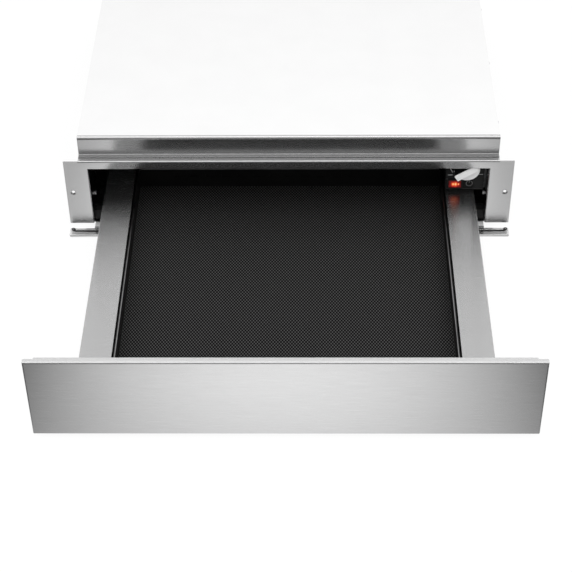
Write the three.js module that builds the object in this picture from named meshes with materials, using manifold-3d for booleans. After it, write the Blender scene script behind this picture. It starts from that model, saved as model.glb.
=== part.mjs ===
// Built in warming drawer for a kitchen column, drawn with the drawer pulled out to its stop.
// Millimetres. X runs to the right, Y runs back into the cabinet, Z up. The origin is on the
// underside of the base, midway across, in the plane of the front frame's front face.
import * as THREE from "three";
import { mergeVertices } from "three/addons/utils/BufferGeometryUtils.js";
import Module from "manifold-3d";

const wasm = await Module();
wasm.setup();

// ---------- driving dimensions ----------
const seatGap = 0.3; // between two pieces that touch

// housing
const unitWidth = 594; // front panel, front frame and bottom trim
const unitHeight = 140; // underside to the top of the upstand
const housingDepth = 515; // front face of the frame to the back of the housing
const frameOverhang = 19.4; // how far the frame stands out past each side of the housing
const baseThickness = 1.2;
const wallThickness = 1;
const blowerBayDepth = 60; // room for the blower behind the drawer
const plateCorner = 12; // corner cut out of the base and the walls behind the frame's foot
const flangeClearance = 1; // from the frame's side returns to the walls' front flanges
const rearVentCount = 7; // slots in each group in the rear wall
const rearVentPitch = 12;
const rearVentWidth = 4;
const rearVentHeight = 42;
const screwHeight = 37; // screws that fix the frame's sides, and how far back they sit
const screwSetback = 30;
const screwRadius = 1.8;
const screwHead = 3.6;
const guideDepth = 14; // nylon guide blocks beside the drawer
const guideHeight = 16;
const guideRunner = 5.5;

// front frame
const frameSheet = 1.2;
const frameBottom = 8;
const frameSide = 32.6; // width of the frame beside the opening
const frameHead = 13.2; // and above it
const frameBend = 1.6;
const sideReturnDepth = 41; // how far the frame's edges turn back beside the opening
const topReturnDepth = 2.6; // short, because the temperature knob stands close behind it
const fixingHoleInset = 9; // from the frame's outer edge
const fixingHoleHeight = 61;
const fixingHoleRadius = 2.3;
const fixingSinkRadius = 4.5;
const ledgeDepth = 16;
const upstandHeight = 28; // from the frame's top to the top of the upstand
const upstandFront = 14.8;
const upstandFoot = 7.2; // width of the foot that lies on the ledge
const upstandReturn = 5.6;

// trim under the front
const trimFront = 20.4;
const trimRear = 2.3;
const trimSheet = 1;
const trimCornerRadius = 3;
const trimRearHeight = 2;
const trimFrontHeight = 2.9;
const grooveMiddle = 11; // a groove runs along the trim between its two bands
const grooveHalf = 1.5;

// drawer front
const travel = 368.7; // how far the drawer slides
const closedGap = 2; // between the closed front and the frame
const frontBottom = 7;
const frontAbove = 12; // how far the front stands higher than the frame
const frontSheet = 1;
const skinDepth = 8; // depth of the outer skin's edge
const skinHem = 22; // width of the edge turned in behind the skin
const innerInset = 10; // how much narrower the inner panel is at each end
const innerDepth = 10.2;
const innerDrop = 8; // how far the inner panel's top lies under the skin's top
const innerRise = 2; // how far its bottom lies over the skin's bottom
const bumperRadius = 5;
const bumperProud = 0.9;
const frontBracketSheet = 1.2;
const frontBracketBottom = 10;

// drawer box
const runnerSpace = 13.4; // from the opening's side to the drawer
const rimWidth = 40;
const rimSheet = 1;
const rimFootWidth = 11;
const rimDrop = 1.1; // how far the rims lie under the box's edge
const tubClearance = 1.7; // from the box's wall to the rim's inner face
const tubSheet = 0.8;
const tubBottom = 5.5;
const tubHeight = 34.5;
const latchStandoff = 5.3; // from the closed box to the baffle
const ventWidth = 12;
const ventHeight = 5;
const ventPitch = 22;
const matThickness = 3;
const rearRailSheet = 1.5;
const latchPlateSheet = 0.8;

// telescopic slides
const slideDepth = 12.7;
const slideHeight = 29;
const slideMiddle = 20; // height of the slide's centre line
const slideSheet = 1.2;
const memberSheet = 1; // the two moving members
const railStart = 14; // the cabinet rail's front end behind the frame's face
const railEndGap = 10; // and its rear end before the baffle
const midSetback = 6; // how far the closed middle member's front lies before the cabinet rail's
const drawerSetback = 8;
const cageSheet = 0.7;
const cageLength = 120;
const ballsPerRow = 5;
const outerBall = 1.4;
const innerBall = 1.3;
const bracketSheet = 2;

// controls
const panelFace = 28; // how far the control panel stands behind the frame
const panelInset = 1.6; // from the opening's side to the panel
const panelWidth = 51.8;
const panelRise = 4; // from the drawer's rim up to the panel
const panelTopDrop = 12; // from the top of the upstand down to the panel's top
const panelSheet = 2;
const panelDepth = 45;
const knobInset = 25.7; // from the panel's right edge to the knob's axis
const knobDrop = 22.7; // from the frame's top down to the knob's axis
const knobRadius = 16.8;
const knobBevel = 0.8;
const knobBarFront = 3;
const knobBarHeight = 6.5;
const knobBarWidth = 9.5;
const knobTip = 17.8; // reach of the pointer from the axis
const knobPointerAngle = 213; // degrees from +X towards +Z with the knob at its lowest setting
const shaftRadius = 3;
const thermostatHalfWidth = 15;
const thermostatHalfHeight = 17;
const thermostatDepth = 20;
const switchInset = 39; // from the panel's right edge to the switch
const switchRise = 10.1; // from the panel's bottom edge to the switch
const bezelWidth = 21.5;
const bezelHeight = 16;
const bezelProud = 1.5;
const bezelLip = 1.3;
const switchDepth = 20;
const rockerWidth = 16.6;
const rockerHeight = 10.4;
const rockerTilt = 7; // degrees either side of level
const rockerSetback = 3.2; // the rocker's pivot behind the panel's face

// blower
const fanBoxWidth = 160;
const fanBoxBottom = 13;
const fanBoxTopDrop = 3; // from the top of the unit to the top of the blower's housing
const impellerSheet = 1.2;
const bladeCount = 12;
const heaterInset = 10; // from the blower housing's wall to the heater's centre line
const heaterTube = 3.2;
const heaterLegX = 14;
const motorShaft = 2.5;
const motorDepth = 20;
const cutoutRadius = 7.5;
const terminalHalfWidth = 21;
const terminalHalfDepth = 11;
const terminalHeight = 18;
const glandInset = 72.6; // from the housing's side to the mains gland
const glandZ = 34;
const glandRadius = 8.6;
const glandBore = 4;

// wires
const pipeGap = 0.7; // round the loom and the capillary where they pass through the baffle
const loomRadius = 2.5;
const loomInset = 2.4; // from the opening's side
const loomDrop = 15; // from the top of the unit
const capillaryRadius = 1;
const capillaryInset = 14.4;
const capillaryDrop = 7;
const bulbRadius = 3;

// push latch
const latchX = 120;
const latchZ = 22;
const latchHalfWidth = 10;
const plungerRadius = 5;
const plungerProud = 2; // how far the plunger stands out of the baffle

// ---------- derived places ----------
const halfWidth = unitWidth / 2;
const halfHousing = halfWidth - frameOverhang;
const halfOpening = halfWidth - frameSide;
const frameTop = unitHeight - upstandHeight;
const upstandRear = upstandFront + upstandReturn;
const openingTop = frameTop - frameHead;
const coverUnder = unitHeight - frameSheet;
const wallInside = halfHousing - wallThickness - seatGap;
const rearInside = housingDepth - wallThickness - seatGap;
const floorTop = baseThickness + seatGap;
const baffleFront = housingDepth - wallThickness - blowerBayDepth;
const fanFront = baffleFront + wallThickness + seatGap;

const frontFace = -(travel + closedGap + skinDepth + seatGap + innerDepth);
const innerFront = frontFace + skinDepth + seatGap;
const innerRear = innerFront + innerDepth;
const frontTop = frameTop + frontAbove;
const boxFront = innerRear + seatGap;

const rimOuter = halfOpening - runnerSpace;
const rimInner = rimOuter - rimWidth;
const halfTub = rimInner - tubClearance;
const tubTop = tubBottom + tubHeight;
const rimTop = tubTop - rimDrop;
const tubRear = baffleFront - latchStandoff - travel; // rear face of the box with the drawer out

const panelRight = halfOpening - panelInset;
const panelLeft = panelRight - panelWidth;
const panelBottom = rimTop + panelRise;
const panelTop = unitHeight - panelTopDrop;
const panelRear = panelFace + panelDepth;
const knobX = panelRight - knobInset;
const knobZ = frameTop - knobDrop;
const knobDiscFront = knobBarFront + knobBarHeight;
const switchX = panelRight - switchInset;
const switchZ = panelBottom + switchRise;
const switchRear = panelFace + switchDepth;

const fanX = 0;
const fanBoxTop = unitHeight - fanBoxTopDrop;
const fanBoxHeight = fanBoxTop - fanBoxBottom;
const fanBoxDepth = blowerBayDepth - motorDepth - 5;
const fanBoxRear = fanFront + fanBoxDepth;
const fanZ = (fanBoxTop + fanBoxBottom) / 2;
const heaterRadius = fanBoxHeight / 2 - heaterInset;
const heaterLegZ = fanZ + heaterRadius - 2;
const impellerRadius = heaterRadius - 10;
const impellerDepth = fanBoxDepth - 15;
const impellerRear = fanBoxRear - wallThickness - 5;
const cutoutX = fanBoxWidth / 2 + 26;
const cutoutZ = fanZ + 37;
const bulbZ = fanZ + 49;
const glandX = halfHousing - glandInset;
const terminalX = glandX + 1;
const terminalY = housingDepth - 26;

const loomX = halfOpening - loomInset;
const loomZ = unitHeight - loomDrop;
const capillaryX = halfOpening - capillaryInset;
const capillaryZ = unitHeight - capillaryDrop;
const latchDepth = blowerBayDepth - 14;
const plungerFace = baffleFront - plungerProud;

// slides: depths are measured from the cabinet rail's back, heights from the slide's centre line
const slideLength = baffleFront - railEndGap - railStart;
const slideBack = rimInner + rimSheet + seatGap + slideDepth;
const midFront = railStart - midSetback - travel / 2;
const drawerRailFront = railStart - drawerSetback - travel;
const midHalf = slideHeight / 2 - slideSheet - 2 * outerBall - seatGap;
const innerHalf = midHalf - memberSheet - 2 * innerBall - seatGap;
const outerBallHeight = (slideHeight / 2 - slideSheet + midHalf) / 2;
const innerBallHeight = (midHalf - memberSheet + innerHalf) / 2;
const midWeb = 3.5;
const outerCageWeb = 2.05;
const innerCageWeb = 4.75;

// ---------- shapes ----------
const toSolid = (geometry) => {
  const plain = new THREE.BufferGeometry();
  const source = geometry.index ? geometry.toNonIndexed() : geometry;
  plain.setAttribute("position", source.getAttribute("position"));
  const merged = mergeVertices(plain, 1e-4);
  return new wasm.Manifold(
    new wasm.Mesh({
      numProp: 3,
      vertProperties: new Float32Array(merged.attributes.position.array),
      triVerts: new Uint32Array(merged.index.array),
    }),
  );
};

const toGeometry = (solid) => {
  const mesh = solid.getMesh();
  const geometry = new THREE.BufferGeometry();
  geometry.setAttribute("position", new THREE.BufferAttribute(mesh.vertProperties, 3));
  geometry.setIndex(new THREE.BufferAttribute(mesh.triVerts, 1));
  return geometry;
};

const join = (...solids) => solids.reduce((whole, solid) => whole.add(solid));
const cut = (body, ...tools) => tools.reduce((whole, tool) => whole.subtract(tool), body);

// A block between two X, two Y and two Z values.
const block = (x0, x1, y0, y1, z0, z1) => {
  const geometry = new THREE.BoxGeometry(x1 - x0, y1 - y0, z1 - z0);
  return toSolid(geometry.translate((x0 + x1) / 2, (y0 + y1) / 2, (z0 + z1) / 2));
};

// A round bar along Y about the axis at x and z.
const barY = (x, z, radius, y0, y1, sides = 24) => {
  const geometry = new THREE.CylinderGeometry(radius, radius, y1 - y0, sides);
  return toSolid(geometry.translate(x, (y0 + y1) / 2, z));
};

// A round bar along X about the axis at y and z.
const barX = (y, z, radius, x0, x1, sides = 16) => {
  const geometry = new THREE.CylinderGeometry(radius, radius, x1 - x0, sides);
  return toSolid(geometry.rotateZ(Math.PI / 2).translate((x0 + x1) / 2, y, z));
};

const prism = (outline, length) => {
  const shape = new THREE.Shape(outline.map(([u, v]) => new THREE.Vector2(u, v)));
  return new THREE.ExtrudeGeometry(shape, { depth: length, bevelEnabled: false });
};

// An outline of X, Z points carried along Y.
const alongY = (outline, y0, y1) =>
  toSolid(prism(outline, y1 - y0).rotateX(Math.PI / 2).translate(0, y1, 0));

// An outline of Y, Z points carried along X.
const alongX = (outline, x0, x1) => {
  const turn = new THREE.Matrix4().makeBasis(
    new THREE.Vector3(0, 1, 0),
    new THREE.Vector3(0, 0, 1),
    new THREE.Vector3(1, 0, 0),
  );
  return toSolid(prism(outline, x1 - x0).applyMatrix4(turn).translate(x0, 0, 0));
};

// An outline of X, Y points carried up Z.
const alongZ = (outline, z0, z1) => toSolid(prism(outline, z1 - z0).translate(0, 0, z0));

// The outline of a folded sheet: a centre line with round bends, widened by half the sheet each way.
const foldedSheet = (corners, thickness, bend = thickness, bendSteps = 3) => {
  const points = corners.map(([u, v]) => new THREE.Vector2(u, v));
  const line = points.flatMap((here, i) => {
    if (i === 0 || i === points.length - 1) return [here];
    const back = points[i - 1].clone().sub(here).setLength(bend).add(here);
    const ahead = points[i + 1].clone().sub(here).setLength(bend).add(here);
    return new THREE.QuadraticBezierCurve(back, here, ahead).getPoints(bendSteps);
  });
  const sideways = line.map((here, i) => {
    const into = i > 0 ? here.clone().sub(line[i - 1]).normalize() : null;
    const out = i < line.length - 1 ? line[i + 1].clone().sub(here).normalize() : null;
    const along = (into && out ? into.clone().add(out) : into || out).normalize();
    const stretch = into ? along.dot(into) : 1;
    return new THREE.Vector2(-along.y, along.x).multiplyScalar(thickness / 2 / stretch);
  });
  const left = line.map((here, i) => here.clone().add(sideways[i]));
  const right = line.map((here, i) => here.clone().sub(sideways[i]));
  return [...right, ...left.reverse()].map((p) => [p.x, p.y]);
};

// A round tube through a list of places.
const tubeThrough = (places, radius, steps, sides = 8) => {
  const section = new THREE.Shape();
  for (let i = 0; i < sides; i += 1) {
    const angle = (i / sides) * 2 * Math.PI;
    const corner = [radius * Math.cos(angle), radius * Math.sin(angle)];
    if (i) section.lineTo(...corner);
    else section.moveTo(...corner);
  }
  const path = new THREE.CatmullRomCurve3(places.map((p) => new THREE.Vector3(...p)));
  return toSolid(new THREE.ExtrudeGeometry(section, { steps, extrudePath: path }));
};

const between = (a, b, share) => a + (b - a) * share;
const mirrorX = (solid) => solid.mirror([1, 0, 0]);

// ---------- finishes ----------
const finish = (color, roughness, metalness) =>
  new THREE.MeshStandardMaterial({ color, roughness, metalness });
const finishes = {
  brushedSteel: () => finish(0xb9babb, 0.34, 1),
  galvanised: () => finish(0xa9adb0, 0.45, 1),
  blackEnamel: () => finish(0x141414, 0.35, 0.1),
  whiteEnamel: () => finish(0xededec, 0.4, 0),
  blackPlastic: () => finish(0x17181a, 0.4, 0),
  rubber: () => finish(0x1b1b1c, 0.85, 0),
  satinMetal: () => finish(0xdcdcdc, 0.3, 0.8),
  redLens: () => finish(0xc31208, 0.25, 0),
  polishedSteel: () => finish(0xc9cbcd, 0.2, 1),
  heaterSheath: () => finish(0x6d6a66, 0.5, 0.8),
  ceramic: () => finish(0xe5e1d6, 0.6, 0),
  whitePlastic: () => finish(0xd8d8d4, 0.5, 0),
  copper: () => finish(0xb87a4b, 0.35, 1),
};

const part = new THREE.Group();
const add = (name, solid, look) => {
  const mesh = new THREE.Mesh(toGeometry(solid), finishes[look]());
  mesh.name = name;
  part.add(mesh);
};

// A piece for each side: the right one as drawn and its mirror image on the left.
const addPair = (name, solid, look) => {
  add("left_" + name, mirrorX(solid), look);
  add("right_" + name, solid, look);
};

// ---------- housing ----------
const basePlate = () => {
  const front = -(trimRear - seatGap);
  const outline = [
    [-halfOpening, front],
    [halfOpening, front],
    [halfOpening, plateCorner],
    [wallInside, plateCorner],
    [wallInside, rearInside],
    [-wallInside, rearInside],
    [-wallInside, plateCorner],
    [-halfOpening, plateCorner],
  ];
  return alongZ(outline, 0, baseThickness);
};

const sideWall = () => {
  const web = halfHousing - wallThickness / 2;
  const flangeY = frameSheet + seatGap + wallThickness / 2;
  const flangeEdge = halfOpening + frameSheet + flangeClearance;
  const outline = foldedSheet(
    [[flangeEdge, flangeY], [web, flangeY], [web, rearInside]], wallThickness);
  const ledgeUnder = frameTop - frameSheet - seatGap;
  const lowFront = block(0, halfWidth, 0, plateCorner, -1, frameBottom);
  const highFront = block(0, halfWidth, 0, upstandRear + seatGap, ledgeUnder, unitHeight);
  return cut(alongZ(outline, 0, coverUnder - seatGap), lowFront, highFront);
};

// Upright slots in a row, as cutters through a sheet across Y.
const slotRow = (middleX, middleZ, count, pitch, width, height, y0, y1) => {
  const slots = Array.from({ length: count }, (_, i) => {
    const x = middleX + (i - (count - 1) / 2) * pitch;
    return block(x - width / 2, x + width / 2, y0, y1, middleZ - height / 2, middleZ + height / 2);
  });
  return join(...slots);
};

const rearWall = () => {
  const y0 = housingDepth - wallThickness;
  const y1 = housingDepth;
  const sheet = block(-halfHousing, halfHousing, y0, y1, 0, coverUnder + wallThickness);
  const ventX = fanBoxWidth / 2 + 50;
  const vents = [-ventX, ventX].map((x) => slotRow(x, fanZ + 3, rearVentCount, rearVentPitch,
    rearVentWidth, rearVentHeight, y0 - 1, y1 + 1));
  return cut(sheet, ...vents, barY(glandX, glandZ, glandRadius + seatGap, y0 - 1, y1 + 1));
};

const topCover = () =>
  block(-halfHousing, halfHousing, upstandRear + seatGap, rearInside, coverUnder, coverUnder + wallThickness);

// The screws that hold the frame's side returns pass through these holes.
const screwHole = () =>
  barX(screwSetback, screwHeight, screwRadius + seatGap, halfOpening - 1, halfOpening + frameSheet + 1, 12);

const frontFrame = () => {
  const mid = frameSheet / 2;
  const edge = halfOpening + mid;
  const overlap = 4; // the folded strips run this far into each other before they are joined
  const ledgeFold = foldedSheet(
    [[ledgeDepth, frameTop - mid], [mid, frameTop - mid], [mid, openingTop + overlap]],
    frameSheet, frameBend);
  const headFold = foldedSheet(
    [[mid, openingTop + 2 * overlap], [mid, openingTop + mid], [topReturnDepth, openingTop + mid]],
    frameSheet, frameBend);
  const sideFold = foldedSheet(
    [[halfWidth, mid], [edge, mid], [edge, sideReturnDepth]], frameSheet, frameBend);
  const side = alongZ(sideFold, frameBottom, openingTop + overlap);
  const shoulder = block(halfOpening, halfWidth, 0, frameSheet, openingTop, frameTop - overlap);
  const corner = block(halfHousing, halfWidth, 0, frameSheet, openingTop, frameTop);
  const holeX = halfWidth - fixingHoleInset;
  const hole = barY(holeX, fixingHoleHeight, fixingHoleRadius, -1, frameSheet + 1);
  const sinkDepth = 0.8;
  const sinkRise = 0.1; // the cone starts this far before the face
  const sink = toSolid(
    new THREE.CylinderGeometry(fixingHoleRadius, fixingSinkRadius, sinkDepth + sinkRise, 24)
      .translate(holeX, (sinkDepth - sinkRise) / 2, fixingHoleHeight),
  );
  const half = cut(join(side, shoulder, corner), hole, sink, screwHole());
  return join(
    half,
    mirrorX(half),
    alongX(ledgeFold, -halfHousing, halfHousing),
    alongX(headFold, -halfOpening - frameSheet, halfOpening + frameSheet),
  );
};

const topUpstand = () => {
  const mid = frameSheet / 2;
  const footZ = frameTop + seatGap + mid;
  const wallY = upstandFront + mid;
  const outline = foldedSheet(
    [
      [wallY - upstandFoot, footZ],
      [wallY, footZ],
      [wallY, unitHeight - mid],
      [upstandRear, unitHeight - mid],
    ],
    frameSheet,
  );
  return alongX(outline, -halfHousing, halfHousing);
};

const bottomTrim = () => {
  const mid = trimSheet / 2;
  const front = -trimFront + mid;
  const outline = foldedSheet(
    [
      [-trimRear, trimRearHeight],
      [-grooveMiddle + grooveHalf + 1, trimRearHeight],
      [-grooveMiddle + grooveHalf, mid],
      [-grooveMiddle - grooveHalf, mid],
      [-grooveMiddle - grooveHalf - 1, trimFrontHeight],
      [front, trimFrontHeight],
      [front, 0],
    ],
    trimSheet,
    0.6,
    2,
  );
  const r = trimCornerRadius;
  const plan = new THREE.Shape();
  plan.moveTo(-halfWidth, 0);
  plan.lineTo(-halfWidth, -trimFront + r);
  plan.absarc(-halfWidth + r, -trimFront + r, r, Math.PI, 1.5 * Math.PI);
  plan.lineTo(halfWidth - r, -trimFront);
  plan.absarc(halfWidth - r, -trimFront + r, r, 1.5 * Math.PI, 2 * Math.PI);
  plan.lineTo(halfWidth, 0);
  const roundCorners = toSolid(
    new THREE.ExtrudeGeometry(plan, { depth: 10, bevelEnabled: false, curveSegments: 5 })
      .translate(0, 0, -2),
  );
  return alongX(outline, -halfWidth, halfWidth).intersect(roundCorners);
};

const frameScrew = () => {
  const x1 = halfOpening - seatGap;
  const headDepth = 1.8;
  const head = barX(screwSetback, screwHeight, screwHead, x1 - headDepth, x1);
  const shank = barX(screwSetback, screwHeight, screwRadius, x1 - 1, x1 + 6, 12);
  const slot = block(x1 - headDepth - 1, x1 - headDepth / 2, screwSetback - 0.5, screwSetback + 0.5,
    screwHeight - 2.6, screwHeight + 2.6);
  return cut(join(head, shank), slot);
};

const guideBlock = () => {
  const x0 = rimOuter + 0.8;
  const x1 = halfOpening - seatGap;
  const y0 = 13;
  const z0 = 4;
  const body = block(x0 + 3, x1, y0, y0 + guideDepth, z0, z0 + guideHeight);
  const runner = barX(y0 + guideDepth / 2, z0 + guideHeight - guideRunner + 0.5, guideRunner, x0, x1 - 1, 20);
  return join(body, runner);
};

// ---------- blower bay ----------
const airBaffle = () => {
  const y0 = baffleFront - 1;
  const y1 = baffleFront + wallThickness + 1;
  const sheet = block(-wallInside, wallInside, baffleFront, baffleFront + wallThickness,
    floorTop, coverUnder - seatGap);
  const inletRadius = impellerRadius - 6;
  const inletSlots = 3; // either side of the middle one
  const slotWidth = 4;
  const inlet = [];
  for (let i = -inletSlots; i <= inletSlots; i += 1) {
    const x = (i * inletRadius) / (inletSlots + 0.6);
    const chord = 2 * Math.sqrt(inletRadius ** 2 - x ** 2);
    inlet.push(slotRow(fanX + x, fanZ, 1, 1, slotWidth, chord, y0, y1));
  }
  const outletX = fanBoxWidth / 2 - 15;
  const outletHeight = fanBoxHeight - 64;
  const outlets = [-outletX, outletX].map((x) =>
    slotRow(x, fanZ, 3, 7, slotWidth, outletHeight, y0, y1));
  return cut(
    sheet,
    ...inlet,
    ...outlets,
    barY(latchX, latchZ, plungerRadius + 0.5, y0, y1),
    barY(loomX, loomZ, loomRadius + pipeGap, y0, y1, 12),
    barY(capillaryX, capillaryZ, capillaryRadius + pipeGap, y0, y1, 12),
  );
};

const fanHousing = () => {
  const x1 = fanBoxWidth / 2;
  const t = wallThickness;
  const outer = block(-x1, x1, fanFront, fanBoxRear, fanBoxBottom, fanBoxTop);
  const inner = block(-x1 + t, x1 - t, fanFront - 1, fanBoxRear - t, fanBoxBottom + t, fanBoxTop - t);
  const holeFront = fanBoxRear - t - 1;
  const holeRear = fanBoxRear + 1;
  const shaftHole = barY(fanX, fanZ, motorShaft + 1.5, holeFront, holeRear);
  const legs = [-1, 1].map((side) =>
    barY(fanX + side * heaterLegX, heaterLegZ, heaterTube + seatGap, holeFront, holeRear, 12));
  return cut(outer, inner, shaftHole, ...legs);
};

// A ring round the impeller, open at the top, where its two ends turn back through the housing.
const heaterElement = () => {
  const plane = impellerRear - impellerDepth / 2;
  const start = Math.asin(heaterLegX / heaterRadius);
  const turns = 24;
  const ring = [];
  for (let i = 1; i < turns; i += 1) {
    const angle = Math.PI / 2 - start - ((2 * Math.PI - 2 * start) * i) / turns;
    ring.push([fanX + heaterRadius * Math.cos(angle), plane, fanZ + heaterRadius * Math.sin(angle)]);
  }
  const leg = (side) => [
    [fanX + side * heaterLegX, fanBoxRear + 9, heaterLegZ],
    [fanX + side * heaterLegX, fanBoxRear - 2, heaterLegZ],
    [fanX + side * heaterLegX, plane + 7, heaterLegZ],
  ];
  return tubeThrough([...leg(1), ...ring, ...leg(-1).reverse()], heaterTube, 72);
};

const fanMotor = () => {
  const y0 = fanBoxRear + seatGap;
  const plateSheet = 2;
  const capDepth = 4;
  const plate = block(fanX - 34, fanX + 34, y0, y0 + plateSheet, fanZ - 12, fanZ + 12);
  const stack = block(fanX - 26, fanX + 26, y0 + plateSheet, y0 + motorDepth - capDepth,
    fanZ - 24, fanZ + 22);
  const coil = block(fanX - 17, fanX + 17, y0 + plateSheet + 0.5, y0 + motorDepth - 1,
    fanZ - 36, fanZ - 14);
  const cap = barY(fanX, fanZ, 13, y0 + motorDepth - capDepth, y0 + motorDepth);
  const bore = barY(fanX, fanZ, motorShaft + seatGap, y0 - 1, y0 + motorDepth - 6);
  return cut(join(plate, stack, coil, cap), bore);
};

const fanShaft = () => {
  const front = impellerRear - impellerDepth + 2;
  const rear = fanBoxRear + seatGap + motorDepth - 8;
  return barY(fanX, fanZ, motorShaft, front, rear, 16);
};

const fanImpeller = () => {
  const front = impellerRear - impellerDepth;
  const hubRadius = 8;
  const disc = barY(fanX, fanZ, impellerRadius, impellerRear - impellerSheet, impellerRear, 40);
  const hub = barY(fanX, fanZ, hubRadius, front, impellerRear, 20);
  const bladeRear = impellerRear - impellerSheet / 2;
  const blades = Array.from({ length: bladeCount }, (_, i) =>
    toSolid(
      new THREE.BoxGeometry(impellerRadius - hubRadius + 1, bladeRear - front, 1)
        .translate((impellerRadius + hubRadius - 1) / 2 - 0.2, (front + bladeRear) / 2, 0)
        .rotateY((i / bladeCount) * 2 * Math.PI)
        .translate(fanX, 0, fanZ),
    ));
  const bore = barY(fanX, fanZ, motorShaft + seatGap, front - 1, impellerRear + 1, 16);
  return cut(join(disc, hub, ...blades), bore);
};

const safetyCutout = () => {
  const flangeSheet = 1.5;
  const flange = block(cutoutX - 12, cutoutX + 12, fanFront, fanFront + flangeSheet,
    cutoutZ - 8, cutoutZ + 8);
  return join(flange, barY(cutoutX, cutoutZ, cutoutRadius, fanFront + flangeSheet, fanFront + 9));
};

const terminalBlock = () => {
  const body = block(terminalX - terminalHalfWidth, terminalX + terminalHalfWidth,
    terminalY - terminalHalfDepth, terminalY + terminalHalfDepth, floorTop, floorTop + terminalHeight);
  const pockets = [-13, 0, 13].map((x) =>
    block(terminalX + x - 4, terminalX + x + 4, terminalY - terminalHalfDepth + 3,
      terminalY + terminalHalfDepth - 3, floorTop + 8, floorTop + terminalHeight + 1));
  return cut(body, ...pockets);
};

const cableGland = () => {
  const inside = 12;
  const collarDepth = 5;
  const y0 = housingDepth + seatGap;
  const y1 = y0 + collarDepth;
  const neck = barY(glandX, glandZ, glandRadius, housingDepth - inside, y1);
  const collar = barY(glandX, glandZ, glandRadius + 3, y0, y1, 6);
  const bore = barY(glandX, glandZ, glandBore, housingDepth - inside - 1, y1 + 1, 16);
  return cut(join(neck, collar), bore);
};

// ---------- push latch ----------
const latchBody = () => {
  const y0 = fanFront;
  const body = block(latchX - latchHalfWidth, latchX + latchHalfWidth, y0, y0 + latchDepth,
    floorTop, latchZ + latchHalfWidth - 1);
  return cut(body, barY(latchX, latchZ, plungerRadius + seatGap, y0 - 1, y0 + latchDepth - 5));
};

const latchPlunger = () => {
  const stem = barY(latchX, latchZ, plungerRadius, plungerFace, fanFront + latchDepth - 16);
  const notch = block(latchX - plungerRadius - 1, latchX + plungerRadius + 1,
    plungerFace - 1, plungerFace + 0.8, latchZ - 0.7, latchZ + 0.7);
  return cut(stem, notch);
};

// ---------- controls ----------
const controlPanel = () => {
  const t = panelSheet;
  const y0 = panelFace - 1;
  const y1 = panelFace + t + 1;
  const face = block(panelLeft, panelRight, panelFace, panelFace + t, panelBottom, panelTop);
  const side = block(panelLeft, panelLeft + t, panelFace, panelRear, panelBottom, panelTop);
  const floor = block(panelLeft, panelRight, panelFace, panelRear, panelBottom, panelBottom + t);
  const shaftHole = barY(knobX, knobZ, shaftRadius + 1, y0, y1);
  const halfCutX = bezelWidth / 2 - bezelLip + seatGap;
  const halfCutZ = bezelHeight / 2 - bezelLip + seatGap;
  const cutout = block(switchX - halfCutX, switchX + halfCutX, y0, y1,
    switchZ - halfCutZ, switchZ + halfCutZ);
  return cut(join(face, side, floor), shaftHole, cutout);
};

const controlBracket = () => {
  const t = wallThickness;
  const x0 = panelRight + seatGap;
  const z0 = panelTop + seatGap;
  const upright = block(x0, x0 + t, panelFace + panelSheet, panelRear, panelBottom + panelSheet, z0 + t);
  const lid = block(panelLeft, x0 + t, panelFace + panelSheet + seatGap, panelRear, z0, z0 + t);
  const hanger = block(panelLeft + 21, panelLeft + 39, panelRear - 14, panelRear - 14 + t,
    z0 + t / 2, coverUnder - seatGap);
  return join(upright, lid, hanger);
};

const switchBody = () => {
  const front = panelFace - seatGap - bezelProud;
  const halfX = bezelWidth / 2;
  const halfZ = bezelHeight / 2;
  const bezel = block(switchX - halfX, switchX + halfX, front, panelFace - seatGap,
    switchZ - halfZ, switchZ + halfZ);
  const can = block(switchX - halfX + bezelLip, switchX + halfX - bezelLip, front, switchRear,
    switchZ - halfZ + bezelLip, switchZ + halfZ - bezelLip);
  const windowX = rockerWidth / 2 + 0.5;
  const windowZ = rockerHeight / 2 + 1.1;
  const window = block(switchX - windowX, switchX + windowX, front - 1, switchRear - 8,
    switchZ - windowZ, switchZ + windowZ);
  return cut(join(bezel, can), window);
};

// The rocker's face is a shallow V, and its back narrows to the pivot's heel.
const switchRocker = () => {
  const half = rockerHeight / 2;
  const faceY = -5.4;
  const shoulderY = 3;
  const heelY = 6;
  const outline = [
    [faceY, -half],
    [shoulderY, -half * 0.7],
    [heelY, 0],
    [shoulderY, half * 0.7],
    [faceY, half],
    [faceY + 0.5, 0],
  ];
  const level = alongX(outline, -rockerWidth / 2, rockerWidth / 2);
  return level.rotate([-rockerTilt, 0, 0]).translate([switchX, panelFace + rockerSetback, switchZ]);
};

const thermostatBody = () => {
  const bushFront = panelFace + panelSheet + seatGap;
  const bodyFront = bushFront + 6;
  const body = block(knobX - thermostatHalfWidth, knobX + thermostatHalfWidth,
    bodyFront, bodyFront + thermostatDepth, knobZ - thermostatHalfHeight, knobZ + thermostatHalfHeight);
  const bush = barY(knobX, knobZ, 6.5, bushFront, bodyFront + 0.5);
  const bore = barY(knobX, knobZ, shaftRadius + seatGap, bushFront - 1, bodyFront + thermostatDepth - 6);
  return cut(join(body, bush), bore);
};

const thermostatShaft = () =>
  barY(knobX, knobZ, shaftRadius, knobDiscFront + 3, panelFace + 18, 20);

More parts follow.
